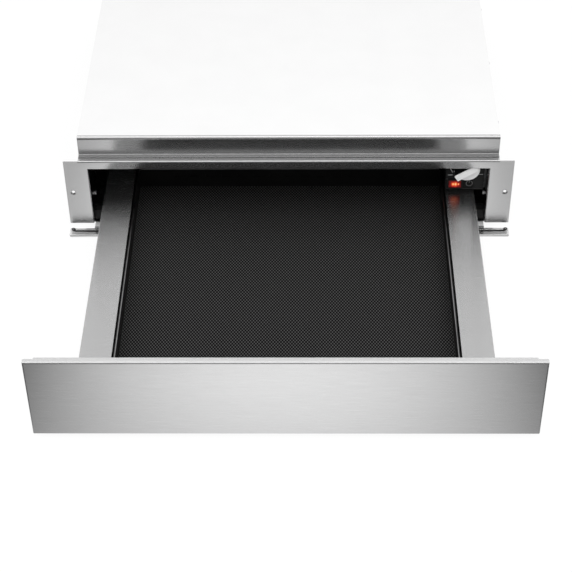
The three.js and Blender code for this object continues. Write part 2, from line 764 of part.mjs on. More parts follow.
const temperatureKnob = () => {
  const discRear = panelFace - 2 * seatGap;
  const profile = [
    [0, knobDiscFront],
    [knobRadius - knobBevel, knobDiscFront],
    [knobRadius, knobDiscFront + knobBevel],
    [knobRadius, discRear],
    [0, discRear],
  ].map(([r, y]) => new THREE.Vector2(r, y));
  const disc = toSolid(new THREE.LatheGeometry(profile, 48));
  const half = knobBarWidth / 2;
  const tail = -knobRadius + 2;
  const bar = alongY(
    [[tail, -half], [knobTip, -half], [knobTip, half], [tail, half]],
    knobBarFront, knobDiscFront + 1,
  );
  // beside the pointer the disc is cut away, so the knob is a half moon with a bar along its flat
  const reach = knobRadius + 1;
  const flat = block(-reach, reach, knobDiscFront - 1, discRear + 1, -reach, -half);
  const turned = join(cut(disc, flat), bar)
    .rotate([0, -knobPointerAngle, 0])
    .translate([knobX, 0, knobZ]);
  return cut(turned, barY(knobX, knobZ, shaftRadius + seatGap, knobDiscFront + 2, discRear + 1, 20));
};

// The loom runs from the switch up to the housing's top edge, back through the baffle and down
// to the terminal block.
const wireLoom = () => {
  const loomFront = panelFace + 90;
  const loomRear = baffleFront - 8;
  return tubeThrough(
    [
      [switchX, switchRear + seatGap, switchZ],
      [switchX, switchRear + 4, switchZ],
      [switchX + 4, switchRear + 11, switchZ],
      [switchX + 22, switchRear + 18, switchZ + 6],
      [loomX - 6, switchRear + 28, switchZ + 32],
      [loomX - 2, switchRear + 42, loomZ - 16],
      [loomX, loomFront, loomZ],
      [loomX, between(loomFront, loomRear, 0.25), loomZ],
      [loomX, between(loomFront, loomRear, 0.65), loomZ],
      [loomX, loomRear, loomZ],
      [loomX, baffleFront + 2, loomZ],
      [loomX, baffleFront + 12, loomZ - 1],
      [loomX - 2, baffleFront + 26, loomZ - 30],
      [loomX - 14, terminalY - 1, 40],
      [terminalX + terminalHalfWidth + 11, terminalY, 12],
      [terminalX + terminalHalfWidth + seatGap, terminalY, 12],
    ],
    loomRadius,
    60,
  );
};

// The thermostat's capillary runs above the loom and ends in its bulb beside the blower.
const capillary = () => {
  const thermostatRear = panelFace + panelSheet + seatGap + 6 + thermostatDepth;
  const runFront = panelFace + 60;
  const runRear = baffleFront - 8;
  const bulbY = baffleFront + 17;
  const bulbEnd = cutoutX + 20;
  const line = tubeThrough(
    [
      [knobX + 8, thermostatRear + seatGap, knobZ + 8],
      [knobX + 8, thermostatRear + 8, knobZ + 8],
      [knobX + 12, thermostatRear + 13, knobZ + 24],
      [capillaryX, runFront, capillaryZ],
      [capillaryX, between(runFront, runRear, 0.2), capillaryZ],
      [capillaryX, between(runFront, runRear, 0.6), capillaryZ],
      [capillaryX, runRear, capillaryZ],
      [capillaryX, baffleFront + 2, capillaryZ],
      [capillaryX - 2, baffleFront + 8, capillaryZ],
      [capillaryX - 14, baffleFront + 14, capillaryZ - 3],
      [between(capillaryX, bulbEnd, 0.65), bulbY, bulbZ + 2],
      [bulbEnd - 2, bulbY, bulbZ],
    ],
    capillaryRadius,
    56,
    6,
  );
  return join(line, barX(bulbY, bulbZ, bulbRadius, fanBoxWidth / 2 + 0.5, bulbEnd));
};

// ---------- slides ----------
// A member's section is a folded strip of [depth, height] corners carried along Y.
const channel = (corners, sheet, y0, y1) => {
  const outline = foldedSheet(corners, sheet, sheet * 0.8, 2);
  return alongY(outline.map(([depth, height]) => [slideBack - depth, slideMiddle + height]), y0, y1);
};

const cabinetRail = () => {
  const web = slideSheet / 2;
  const lip = slideDepth - 4.3;
  const h = slideHeight / 2 - slideSheet / 2;
  return channel([[lip, h - 1.8], [lip, h], [web, h], [web, -h], [lip, -h], [lip, -h + 1.8]],
    slideSheet, railStart, railStart + slideLength);
};

const midRail = () => {
  const lip = slideDepth - memberSheet - 0.8;
  const h = midHalf - memberSheet / 2;
  return channel([[lip, h - 1.2], [lip, h], [midWeb, h], [midWeb, -h], [lip, -h], [lip, -h + 1.2]],
    memberSheet, midFront, midFront + slideLength);
};

const drawerRail = () => {
  const web = slideDepth - memberSheet / 2;
  const lip = innerCageWeb + cageSheet / 2 + 1.4;
  const h = innerHalf - memberSheet / 2;
  return channel([[lip, h], [web, h], [web, -h], [lip, -h]],
    memberSheet, drawerRailFront, drawerRailFront + slideLength);
};

// A cage is a bent strip that carries a row of balls along each edge.
const ballCage = (webDepth, lipDepth, ballDepth, ballHeight, ballRadius, y0) => {
  const strip = channel(
    [[lipDepth, ballHeight], [webDepth, ballHeight], [webDepth, -ballHeight], [lipDepth, -ballHeight]],
    cageSheet, y0, y0 + cageLength);
  const balls = [];
  for (let i = 0; i < ballsPerRow; i += 1)
    for (const side of [-1, 1]) {
      const y = y0 + (cageLength * (i + 0.5)) / ballsPerRow;
      balls.push(toSolid(new THREE.SphereGeometry(ballRadius, 8, 5)
        .translate(slideBack - ballDepth, y, slideMiddle + side * ballHeight)));
    }
  return join(strip, ...balls);
};

// Each cage lies midway along the stretch that its two members share.
const outerCage = () => {
  const y0 = (railStart + midFront + slideLength - cageLength) / 2;
  return ballCage(outerCageWeb, slideDepth - 5.8, slideDepth - 7.3, outerBallHeight, outerBall, y0);
};

const innerCage = () => {
  const y0 = (midFront + drawerRailFront + slideLength - cageLength) / 2;
  return ballCage(innerCageWeb, slideDepth - 3.1, slideDepth - 4.7, innerBallHeight, innerBall, y0);
};

const slideBracket = () => {
  const x0 = slideBack + seatGap + bracketSheet / 2;
  const z0 = floorTop + bracketSheet / 2;
  const top = slideMiddle + slideHeight / 2 + 0.5;
  const outline = foldedSheet([[x0, top], [x0, z0], [rimOuter - 5, z0]], bracketSheet);
  return alongY(outline, railStart, railStart + slideLength + 2);
};

// ---------- drawer front ----------
const frontPanel = () => {
  const s = frontSheet;
  const rear = frontFace + skinDepth;
  const outer = block(-halfWidth, halfWidth, frontFace, rear, frontBottom, frontTop);
  const hollow = block(-halfWidth + s, halfWidth - s, frontFace + s, rear - s, frontBottom + s, frontTop - s);
  const window = block(-halfWidth + skinHem, halfWidth - skinHem, frontFace + s, rear + 1,
    frontBottom + skinHem, frontTop - skinHem);
  return cut(outer, hollow, window);
};

const innerFrontPanel = () => {
  const s = frontSheet;
  const half = halfWidth - innerInset;
  const bottom = frontBottom + innerRise;
  const top = frontTop - innerDrop;
  const outer = block(-half, half, innerFront, innerRear, bottom, top);
  const hollow = block(-half + s, half - s, innerFront - 1, innerRear - s, bottom + s, top - s);
  return cut(outer, hollow);
};

// Rubber bumpers on the back of the front, where it meets the frame.
const bumper = (z) => barY(halfOpening + 12, z, bumperRadius, boxFront, boxFront + bumperProud, 20);
const lowerBumper = () => bumper(frontBottom + 19);
const upperBumper = () => bumper(frontTop - 30);

const frontBracket = () => {
  const s = frontBracketSheet;
  const x1 = rimOuter - rimSheet - seatGap;
  const outline = foldedSheet(
    [[x1 - 18, boxFront + s / 2], [x1 - s / 2, boxFront + s / 2], [x1 - s / 2, boxFront + 26]], s);
  return alongZ(outline, frontBracketBottom, rimTop - rimSheet - 4);
};

// ---------- drawer box ----------
const drawerTub = () => {
  const s = tubSheet;
  const outer = block(-halfTub, halfTub, boxFront, tubRear, tubBottom, tubTop);
  const inner = block(-halfTub + s, halfTub - s, boxFront + s, tubRear - s, tubBottom + s, tubTop + 1);
  const ventCount = Math.floor((2 * halfTub - 80) / ventPitch);
  const vents = slotRow(0, tubTop - 12, ventCount, ventPitch, ventWidth, ventHeight,
    tubRear - s - 1, tubRear + 1);
  return cut(outer, inner, vents);
};

const mat = () => {
  const inset = tubSheet + seatGap;
  const z0 = tubBottom + inset;
  return block(-halfTub + inset, halfTub - inset, boxFront + inset, tubRear - inset, z0, z0 + matThickness);
};

const rim = () => {
  const m = rimSheet / 2;
  const footZ = tubBottom - seatGap - m;
  const outerEdgeZ = 6;
  const outline = foldedSheet(
    [
      [rimOuter - m, outerEdgeZ],
      [rimOuter - m, rimTop - m],
      [rimInner + m, rimTop - m],
      [rimInner + m, footZ],
      [rimInner + m - rimFootWidth, footZ],
    ],
    rimSheet,
  );
  return alongY(outline, boxFront, tubRear);
};

const drawerRearRail = () => {
  const y0 = tubRear + seatGap;
  const half = rimInner - seatGap;
  return block(-half, half, y0, y0 + rearRailSheet, tubBottom + 2.5, tubTop - 4.5);
};

const latchPlate = () => {
  const y0 = tubRear + seatGap + rearRailSheet + seatGap;
  const half = latchHalfWidth - 1;
  return block(latchX - half, latchX + half, y0, y0 + latchPlateSheet, latchZ - half, latchZ + half);
};

// ---------- assembly ----------
add("base_plate", basePlate(), "galvanised");
addPair("side_wall", sideWall(), "galvanised");
add("rear_wall", rearWall(), "galvanised");
add("top_cover", topCover(), "whiteEnamel");
add("front_frame", frontFrame(), "brushedSteel");
add("top_upstand", topUpstand(), "brushedSteel");
add("bottom_trim", bottomTrim(), "brushedSteel");
addPair("frame_screw", frameScrew(), "polishedSteel");
addPair("guide_block", guideBlock(), "blackPlastic");

add("air_baffle", airBaffle(), "blackEnamel");
add("fan_housing", fanHousing(), "galvanised");
add("fan_motor", fanMotor(), "galvanised");
add("fan_shaft", fanShaft(), "polishedSteel");
add("fan_impeller", fanImpeller(), "galvanised");
add("heater_element", heaterElement(), "heaterSheath");
add("safety_cutout", safetyCutout(), "ceramic");
add("terminal_block", terminalBlock(), "ceramic");
add("cable_gland", cableGland(), "blackPlastic");
add("push_latch_body", latchBody(), "blackPlastic");
add("push_latch_plunger", latchPlunger(), "whitePlastic");

add("control_panel", controlPanel(), "blackPlastic");
add("control_bracket", controlBracket(), "galvanised");
add("switch_body", switchBody(), "blackPlastic");
add("switch_rocker", switchRocker(), "redLens");
add("thermostat_body", thermostatBody(), "ceramic");
add("thermostat_shaft", thermostatShaft(), "polishedSteel");
add("temperature_knob", temperatureKnob(), "satinMetal");
add("wire_loom", wireLoom(), "blackPlastic");
add("thermostat_capillary", capillary(), "copper");

addPair("slide_bracket", slideBracket(), "galvanised");
addPair("cabinet_rail", cabinetRail(), "polishedSteel");
addPair("mid_rail", midRail(), "polishedSteel");
addPair("drawer_rail", drawerRail(), "polishedSteel");
addPair("outer_ball_cage", outerCage(), "polishedSteel");
addPair("inner_ball_cage", innerCage(), "polishedSteel");

add("front_panel", frontPanel(), "brushedSteel");
add("inner_front_panel", innerFrontPanel(), "brushedSteel");
addPair("front_bracket", frontBracket(), "galvanised");
addPair("lower_bumper", lowerBumper(), "rubber");
addPair("upper_bumper", upperBumper(), "rubber");
add("drawer_tub", drawerTub(), "blackEnamel");
add("anti_slip_mat", mat(), "rubber");
addPair("drawer_rim", rim(), "brushedSteel");
add("drawer_rear_rail", drawerRearRail(), "blackEnamel");
add("latch_plate", latchPlate(), "polishedSteel");

export default part;
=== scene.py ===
import math
import bpy
import bmesh
import numpy as np
from mathutils import Matrix, Vector


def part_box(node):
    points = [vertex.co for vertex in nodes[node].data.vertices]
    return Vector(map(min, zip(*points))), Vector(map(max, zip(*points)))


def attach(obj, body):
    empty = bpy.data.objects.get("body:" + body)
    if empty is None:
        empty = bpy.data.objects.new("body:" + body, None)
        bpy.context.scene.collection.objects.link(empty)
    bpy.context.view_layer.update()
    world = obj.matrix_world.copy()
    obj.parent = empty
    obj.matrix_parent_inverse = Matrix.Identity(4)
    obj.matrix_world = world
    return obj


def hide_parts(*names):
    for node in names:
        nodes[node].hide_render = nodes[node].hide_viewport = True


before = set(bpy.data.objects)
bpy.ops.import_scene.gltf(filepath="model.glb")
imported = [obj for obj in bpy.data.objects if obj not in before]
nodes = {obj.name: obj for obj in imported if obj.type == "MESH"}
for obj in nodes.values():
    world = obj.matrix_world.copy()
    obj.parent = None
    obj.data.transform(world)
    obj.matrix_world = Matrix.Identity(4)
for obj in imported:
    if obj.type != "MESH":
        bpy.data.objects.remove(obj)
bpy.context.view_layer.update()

# Built in warming drawer. X runs to the right, Y back into the cabinet, Z up.
mm = 0.001
scene = bpy.context.scene


def boxOf(node):
    low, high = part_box(node)
    return np.array(low), np.array(high)


# A shell is a pair: an array of points and a list of faces that index it.
def gridShell(points, wrapU=False, wrapV=False, caps=False):
    # quads between neighbours of a grid of points[u, v]; caps close the first and last row
    countU, countV = points.shape[:2]
    index = np.arange(countU * countV).reshape(countU, countV)
    nextU, nextV = np.roll(index, -1, 0), np.roll(index, -1, 1)
    quads = np.stack([index, nextU, np.roll(nextU, -1, 1), nextV], -1)
    quads = quads[:None if wrapU else -1, :None if wrapV else -1].reshape(-1, 4)
    faces = quads.tolist()
    if caps:
        faces += [index[0].tolist(), index[-1][::-1].tolist()]
    return points.reshape(-1, 3), faces


def sweepShell(outline, axis, start, end):
    # a closed outline carried straight along an axis and closed at both ends; its two columns are
    # the other two axes in X, Y, Z order
    points = np.zeros((2, len(outline), 3))
    points[:, :, [i for i in range(3) if i != axis]] = outline
    points[0, :, axis], points[1, :, axis] = start, end
    return gridShell(points, wrapV=True, caps=True)


def latheShell(profile, centre, axis, steps=48, lobes=None):
    # a profile of [radius, distance] rows turned about an axis; lobes scales the radius row by row
    # and angle by angle
    profile = np.array(profile)
    angles = np.linspace(0, 2 * math.pi, steps, endpoint=False)
    radius = profile[:, :1] * (np.ones((len(profile), steps)) if lobes is None else lobes(angles))
    points = np.zeros((len(profile), steps, 3))
    first, second = [i for i in range(3) if i != axis]
    points[:, :, first] = radius * np.cos(angles)
    points[:, :, second] = radius * np.sin(angles)
    points[:, :, axis] = profile[:, 1:]
    return gridShell(points + np.array(centre), wrapV=True, caps=True)


def mirrorShell(shell):
    points, faces = shell
    return points * (-1, 1, 1), [face[::-1] for face in faces]


def build(name, shells, outside=None):
    # one mesh of all the shells with doubles merged and faces turned outwards; on an open sheet the
    # faces are turned so that most of them look along outside
    points, faces, base = [], [], 0
    for shellPoints, shellFaces in shells:
        points.append(shellPoints)
        faces += [[base + i for i in face] for face in shellFaces]
        base += len(shellPoints)
    mesh = bpy.data.meshes.new(name)
    mesh.from_pydata(np.vstack(points).tolist(), [], faces)
    work = bmesh.new()
    work.from_mesh(mesh)
    bmesh.ops.remove_doubles(work, verts=work.verts, dist=1e-7)
    bmesh.ops.recalc_face_normals(work, faces=work.faces)
    if outside:
        lean = sum(((f.normal * f.calc_area()) for f in work.faces), Vector()).dot(Vector(outside))
        if lean < 0:
            bmesh.ops.reverse_faces(work, faces=work.faces)
    work.to_mesh(mesh)
    work.free()
    obj = bpy.data.objects.new(name, mesh)
    scene.collection.objects.link(obj)
    return obj


def roundedLine(corners, radius, steps=8):
    # the line through the corners, with an arc of that radius at each one, or of its own in a list
    corners = [np.array(c, float) for c in corners]
    radii = np.broadcast_to(radius, len(corners) - 2)
    line = [corners[0][None]]
    for before, here, after, bend in zip(corners, corners[1:], corners[2:], radii):
        into = (here - before) / np.linalg.norm(here - before)
        out = (after - here) / np.linalg.norm(after - here)
        turn = math.acos(np.clip(into @ out, -1, 1))
        side = 1 if into[0] * out[1] - into[1] * out[0] > 0 else -1
        start = here - into * bend * math.tan(turn / 2)
        centre = start + side * bend * np.array([-into[1], into[0]])
        angles = side * np.linspace(0, turn, steps + 1)[:, None]
        spoke = start - centre
        crossed = np.array([-spoke[1], spoke[0]])
        line.append(centre + spoke * np.cos(angles) + crossed * np.sin(angles))
    return np.vstack(line + [corners[-1][None]])


def thickLine(line, thickness):
    # closed outline half a thickness to either side of a line, mitred at its corners
    ahead = np.diff(line, axis=0)
    ahead /= np.linalg.norm(ahead, axis=1)[:, None]
    along = np.vstack([ahead[:1], ahead[:-1] + ahead[1:], ahead[-1:]])
    along /= np.linalg.norm(along, axis=1)[:, None]
    stretch = np.concatenate([[1], np.sum(along[1:-1] * ahead[1:], 1), [1]])
    across = np.stack([-along[:, 1], along[:, 0]], 1) * (thickness / 2 / stretch)[:, None]
    return np.vstack([line - across, (line + across)[::-1]])


def arcLine(centre, radius, start, end, steps=24):
    angles = np.radians(np.linspace(start, end, steps + 1))
    return np.array(centre) + radius * np.stack([np.cos(angles), np.sin(angles)], 1)


def bakeModifiers(obj):
    depsgraph = bpy.context.evaluated_depsgraph_get()
    mesh = bpy.data.meshes.new_from_object(obj.evaluated_get(depsgraph))
    obj.modifiers.clear()
    obj.data = mesh
    return obj


def smooth(obj, angle=None):
    obj.data.polygons.foreach_set("use_smooth", np.ones(len(obj.data.polygons), bool))
    if angle:
        obj.data.set_sharp_from_angle(angle=math.radians(angle))
    return obj


def softEdges(obj, width, segments=2, angle=38):
    # rounds every sharp edge, shaded from the flat faces beside it
    bevel = obj.modifiers.new("edges", "BEVEL")
    bevel.width, bevel.segments = width, segments
    bevel.limit_method, bevel.angle_limit = "ANGLE", math.radians(angle)
    bevel.harden_normals = True
    return smooth(obj)


def grainUv(obj, sideAxis=1):
    # U runs along the brush lines: along X on faces that look along Y or Z, and along sideAxis on
    # faces that look along X
    mesh = obj.data
    points = np.zeros(len(mesh.vertices) * 3)
    mesh.vertices.foreach_get("co", points)
    corner = np.zeros(len(mesh.loops), int)
    mesh.loops.foreach_get("vertex_index", corner)
    normals = np.zeros(len(mesh.polygons) * 3)
    mesh.polygons.foreach_get("normal", normals)
    corners = np.zeros(len(mesh.polygons), int)
    mesh.polygons.foreach_get("loop_total", corners)
    facing = np.repeat(np.argmax(np.abs(normals.reshape(-1, 3)), 1), corners)
    at = points.reshape(-1, 3)[corner]
    u = np.where(facing == 0, at[:, sideAxis], at[:, 0])
    v = np.choose(facing, [at[:, 3 - sideAxis], at[:, 2], at[:, 1]])
    mesh.uv_layers.new(name="grain").data.foreach_set("uv", np.stack([u, v], 1).ravel())
    return obj


class Shading:
    # the nodes of a material or of the world: node() adds one by kind, and put() links a socket or
    # sets its value
    def __init__(self, owner):
        owner.use_nodes = True
        self.owner, self.tree = owner, owner.node_tree
        self.shader = self.tree.nodes.get("Principled BSDF")

    def put(self, socket, value):
        if isinstance(value, bpy.types.NodeSocket):
            self.tree.links.new(value, socket)
        else:
            socket.default_value = value

    def node(self, kind, inputs=None, **settings):
        made = self.tree.nodes.new("ShaderNode" + kind)
        for key, value in settings.items():
            setattr(made, key, value)
        for key, value in (inputs or {}).items():
            self.put(made.inputs[key], value)
        return made

    def surface(self, **inputs):
        for key, value in inputs.items():
            self.put(self.shader.inputs[key.replace("_", " ")], value)

    def place(self, scale=(1, 1, 1), uv=None):
        if uv:
            start = self.node("UVMap", uv_map=uv).outputs["UV"]
        else:
            start = self.node("TexCoord").outputs["Object"]
        return self.node("Mapping", {"Vector": start, "Scale": scale}).outputs["Vector"]

    def along(self, axis):
        return self.node("SeparateXYZ", {"Vector": self.place()}).outputs[axis]

    def noise(self, vector, scale=1.0, detail=2.0, roughness=0.5):
        return self.node("TexNoise", {"Vector": vector, "Scale": scale, "Detail": detail,
                                      "Roughness": roughness}).outputs["Fac"]

    def remap(self, value, low, high, start=0.0, end=1.0):
        return self.node("MapRange", {"Value": value, "From Min": start, "From Max": end,
                                      "To Min": low, "To Max": high}).outputs["Result"]

    def math(self, operation, a, b=0.0):
        return self.node("Math", {0: a, 1: b}, operation=operation).outputs[0]

    def vector(self, operation, a, b=(0, 0, 0)):
        made = self.node("VectorMath", {0: a, 1: b}, operation=operation)
        return made.outputs["Value" if operation == "LENGTH" else "Vector"]

    def sum(self, *parts):
        # the weighted sum of sockets, given as (weight, socket) pairs
        total = None
        for weight, socket in parts:
            term = self.math("MULTIPLY", socket, weight)
            total = self.math("ADD", total, term) if total else term
        return total

    def colours(self, factor, *stops):
        ramp = self.node("ValToRGB", {"Fac": factor})
        elements = ramp.color_ramp.elements
        while len(elements) < len(stops):
            elements.new(0.5)
        for element, (position, colour) in zip(elements, stops):
            element.position = position
            element.color = (*colour, 1)
        return ramp.outputs["Color"]

    def mix(self, factor, first, second):
        inputs = {"Fac": factor, "Color1": first, "Color2": second}
        return self.node("MixRGB", inputs).outputs["Color"]

    def keepWhere(self, factor, other):
        # the base colour made so far stays where factor is 1, and the other shows where it is 0
        made = self.shader.inputs["Base Color"].links[0].from_socket
        self.surface(Base_Color=self.mix(factor, other, made))

    def bump(self, height, distance, strength=0.5):
        return self.node("Bump", {"Height": height, "Distance": distance,
                                  "Strength": strength}).outputs["Normal"]


def newMaterial(name):
    return Shading(bpy.data.materials.new(name))


def grey(value, tint=(1, 1, 1)):
    return tuple(value * t for t in tint)


def opaque(value):
    return (value, value, value, 1)


def brushedSteel(name, level, roughness, contrast=0.035, stretch=0.85):
    # four noises stretched along the brush lines, from single scratches up to broad bands, mixed
    # into colour; the scratches alone set gloss and height. stretch is how far reflections are
    # drawn out across the lines.
    m = newMaterial(name)
    scratches = m.noise(m.place((30, 3600, 1), "grain"), detail=3, roughness=0.65)
    flecks = m.noise(m.place((60, 1100, 1), "grain"), detail=3)
    lines = m.noise(m.place((9, 420, 1), "grain"), detail=2)
    bands = m.noise(m.place((2.5, 50, 1), "grain"))
    mixed = m.sum((0.45, scratches), (0.25, flecks), (0.18, lines), (0.12, bands))
    colour = m.colours(mixed, (0.34, grey(level * (1 - contrast))),
                       (0.5, grey(level, (1, 1, 1.003))), (0.66, grey(level * (1 + contrast))))
    tangent = m.node("Tangent", direction_type="UV_MAP", uv_map="grain").outputs["Tangent"]
    m.surface(Base_Color=colour, Metallic=1.0, Anisotropic=stretch, Anisotropic_Rotation=0.25,
              Tangent=tangent, Normal=m.bump(scratches, 0.002 * mm, 0.2),
              Roughness=m.remap(scratches, roughness + 0.04, roughness - 0.04, 0.3, 0.7))
    return m.owner


def galvanised(name, level):
    # zinc crystals: warped cells of slightly different brightness and gloss
    m = newMaterial(name)
    place = m.place()
    wobble = m.node("TexNoise", {"Vector": place, "Scale": 60.0, "Detail": 3.0}).outputs["Color"]
    warped = m.vector("ADD", place, m.vector("MULTIPLY", wobble, (0.012, 0.012, 0.012)))
    cells = m.node("TexVoronoi", {"Vector": warped, "Scale": 95.0}).outputs["Color"]
    tone = m.node("SeparateColor", {"Color": cells}).outputs["Red"]
    mixed = m.sum((0.55, tone), (0.45, m.noise(place, 9.0, 3.0)))
    colour = m.colours(mixed, (0.15, grey(level * 0.8, (0.98, 1, 1.02))),
                       (0.85, grey(level * 1.15, (0.99, 1, 1.01))))
    m.surface(Base_Color=colour, Metallic=1.0, Roughness=m.remap(mixed, 0.52, 0.34),
              Normal=m.bump(m.noise(place, 900.0), 0.04 * mm, 0.2))
    return m


def linedZinc(name):
    # bare outside; everything inside the walls' outer faces is painted black
    m = galvanised(name, 0.56)
    outer = boxOf("right_side_wall")[1][0] - 0.5 * mm
    bare = m.math("GREATER_THAN", m.math("ABSOLUTE", m.along("X")), outer)
    m.keepWhere(bare, opaque(0.006))
    m.surface(Metallic=bare)
    return m.owner


def platedSteel(name, level, roughness):
    # bright zinc with faint drawing lines along Y
    m = newMaterial(name)
    lines = m.noise(m.place((1800, 8, 1800)))
    colour = m.colours(lines, (0.3, grey(level * 0.9, (0.99, 1, 1.02))),
                       (0.7, grey(level * 1.05)))
    m.surface(Base_Color=colour, Metallic=1.0,
              Roughness=m.remap(lines, roughness, roughness + 0.12))
    return m.owner


def coated(name, level, roughness, grain=700.0, depth=0.05 * mm, tint=(1, 1, 1), spread=0.25,
           metallic=0.0, gloss=0.5):
    # paint, enamel, moulded plastic or rubber: a fine skin and slow clouds in colour and gloss
    m = newMaterial(name)
    skin = m.noise(m.place(), grain, 3.0, 0.6)
    cloud = m.noise(m.place(), 22.0, 3.0)
    colour = m.colours(cloud, (0.25, grey(level * (1 - spread), tint)),
                       (0.75, grey(level * (1 + spread), tint)))
    both = m.sum((0.5, skin), (0.5, cloud))
    m.surface(Base_Color=colour, Metallic=metallic, Specular_IOR_Level=gloss,
              Roughness=m.remap(both, roughness * 0.8, roughness * 1.25, 0.3, 0.7),
              Normal=m.bump(skin, depth))
    return m


def coverPaint(name):
    # white outside; the underside, below the middle of the sheet, is black enamel
    m = coated(name, 0.93, 0.45, 900.0, 0.03 * mm, spread=0.01)
    low, high = boxOf("top_cover")
    m.keepWhere(m.math("GREATER_THAN", m.along("Z"), (low[2] + high[2]) / 2), opaque(0.01))
    return m.owner


def glowingLens(name):
    # red moulding; the lamp behind it shows as three bright spots, each given by its X from the
    # middle and its reach, and the glow is the largest of 1 - distance / reach
    m = newMaterial(name)
    low, high = boxOf("switch_rocker")
    middle = (low + high) / 2
    place = m.place()
    drop, flat = 0.4 * mm, 0.8
    glow = None
    for offset, reach in ((-2.4 * mm, 2.6 * mm), (0.9 * mm, 3.0 * mm), (4.8 * mm, 1.6 * mm)):
        spot = (middle[0] + offset, middle[1], middle[2] - drop)
        away = m.vector("MULTIPLY", m.vector("SUBTRACT", place, spot),
                        (1 / reach, 0, flat / reach))
        here = m.math("SUBTRACT", 1.0, m.vector("LENGTH", away))
        glow = m.math("MAXIMUM", glow, here) if glow else here
    glow = m.math("ADD", glow, m.math("MULTIPLY", m.noise(place, 420.0), 0.2))
    colour = m.colours(m.remap(glow, 0.0, 1.0, -0.9, 1.0), (0.0, (0.1, 0.0, 0.0)),
                       (0.4, (0.55, 0.004, 0.003)), (0.66, (0.95, 0.07, 0.02)),
                       (0.86, (1.0, 0.4, 0.1)), (1.0, (1.0, 0.7, 0.4)))
    m.surface(Base_Color=(0.25, 0.004, 0.003, 1), Roughness=0.16, Emission_Color=colour,
              Emission_Strength=m.remap(glow, 0.03, 0.9, -0.45, 0.8), Coat_Weight=0.5)
    return m.owner


def siliconeMat(name, pitchX, pitchY, middleY):
    # cos(2 pi x / pitchX) cos(2 pi y / pitchY) is 1 in the middle of each cell and -1 midway
    # between cells, so its high values are the pits and the rest is the web round them. The pits
    # are coloured near black: painted shade in the hollows, on top of the bump.
    m = newMaterial(name)
    axes = m.node("SeparateXYZ", {"Vector": m.vector("SUBTRACT", m.place(), (0, middleY, 0))})
    cell = m.math("MULTIPLY", *[
        m.math("COSINE", m.math("MULTIPLY", axes.outputs[axis], 2 * math.pi / pitch))
        for axis, pitch in (("X", pitchX), ("Y", pitchY))])
    dust = m.noise(m.place(), 900.0, 3.0)
    wear = m.noise(m.place(), 14.0, 2.0)
    # painted shade: the colour falls from the web's grey to near black in the pits
    colour = m.colours(m.remap(cell, 0.0, 1.0, -1.0, 1.0), (0.12, grey(0.09)), (0.36, grey(0.055)),
                       (0.52, grey(0.006)), (0.68, grey(0.001)))
    both = m.sum((0.6, dust), (0.4, wear))
    m.surface(Base_Color=colour, Specular_IOR_Level=0.06,
              Roughness=m.remap(both, 0.5, 0.75, 0.3, 0.7),
              Normal=m.bump(m.math("MULTIPLY", cell, -1.0), 0.4 * mm, 0.5))
    return m.owner


print("materials")
steelFace = brushedSteel("steel_front", 0.74, 0.3, 0.045)
steelFrame = brushedSteel("steel_frame", 0.68, 0.2, 0.02)
steelTrim = brushedSteel("steel_trim", 0.85, 0.26, 0.01)
steelRim = brushedSteel("steel_rim", 0.555, 0.24, 0.045, 1.0)
zincSheet = galvanised("zinc_sheet", 0.56).owner
zincBright = platedSteel("zinc_bright", 0.68, 0.22)
enamel = coated("black_enamel", 0.006, 0.34, 520.0, 0.05 * mm, gloss=0.35).owner
# the tub's top edge bead: grey bare metal in place of the black enamel, a painted highlight that
# shows as a light line along the edge
tubBeadHighlight = coated("tub_bead_painted_highlight", 0.3, 0.3, 900.0, metallic=1.0).owner
blackGloss = coated("black_gloss", 0.014, 0.16, 300.0, 0.02 * mm, gloss=0.15).owner
blackSatin = coated("black_satin", 0.01, 0.42, 1500.0, gloss=0.35).owner
whiteCover = coverPaint("white_cover")
knobPlastic = coated("knob_plastic", 0.94, 0.3, 1300.0, 0.02 * mm, spread=0.02).owner
bumperRubber = coated("bumper_rubber", 0.03, 0.75, 1500.0, 0.08 * mm).owner
# near-black rubber for the strip in the trim's groove, where it is painted shade, and for the
# corner beads
blackStripRubber = coated("black_strip_rubber", 0.04, 0.8, 1500.0, gloss=0.1).owner
# pale plastic for the pads on the base plate: painted light
litPadPlastic = coated("pad_painted_light", 0.9, 0.5, 900.0, 0.03 * mm, spread=0.03).owner
nylon = coated("nylon", 0.62, 0.42, 900.0, 0.03 * mm, (1, 0.99, 0.95), 0.05).owner
steatite = coated("steatite", 0.6, 0.6, 1200.0, tint=(1, 0.96, 0.88), spread=0.06).owner
motorSteel = coated("motor_steel", 0.3, 0.42, 1500.0, tint=(0.96, 0.98, 1.02),
                    metallic=0.9).owner
heaterSheath = coated("heater_sheath", 0.2, 0.45, 1200.0, tint=(1.05, 0.98, 0.92),
                      metallic=0.9).owner
sleeve = coated("loom_sleeve", 0.02, 0.6, 1500.0).owner
copper = coated("copper", 0.6, 0.3, 900.0, 0.02 * mm, (1.2, 0.62, 0.42), 0.1, 1.0).owner
markPaint = coated("mark_paint", 0.6, 0.6, 1500.0, 0.01 * mm, spread=0.15).owner
symbolPaint = coated("symbol_paint", 0.17, 0.6, 1500.0, 0.01 * mm, spread=0.15).owner
ridgePlastic = coated("ridge_plastic", 0.035, 0.35, 1500.0).owner
lens = glowingLens("red_lens")


def pair(name):
    return ["left_" + name, "right_" + name]


def give(material, *names):
    # for CAD nodes that stay as they are
    for name in names:
        nodes[name].data.materials.clear()
        nodes[name].data.materials.append(material)


def piece(obj, body, material, slot, *replaced):
    obj.data.materials.clear()
    obj.data.materials.append(material)
    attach(obj, body)
    if replaced:
        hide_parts(*replaced)
    return obj


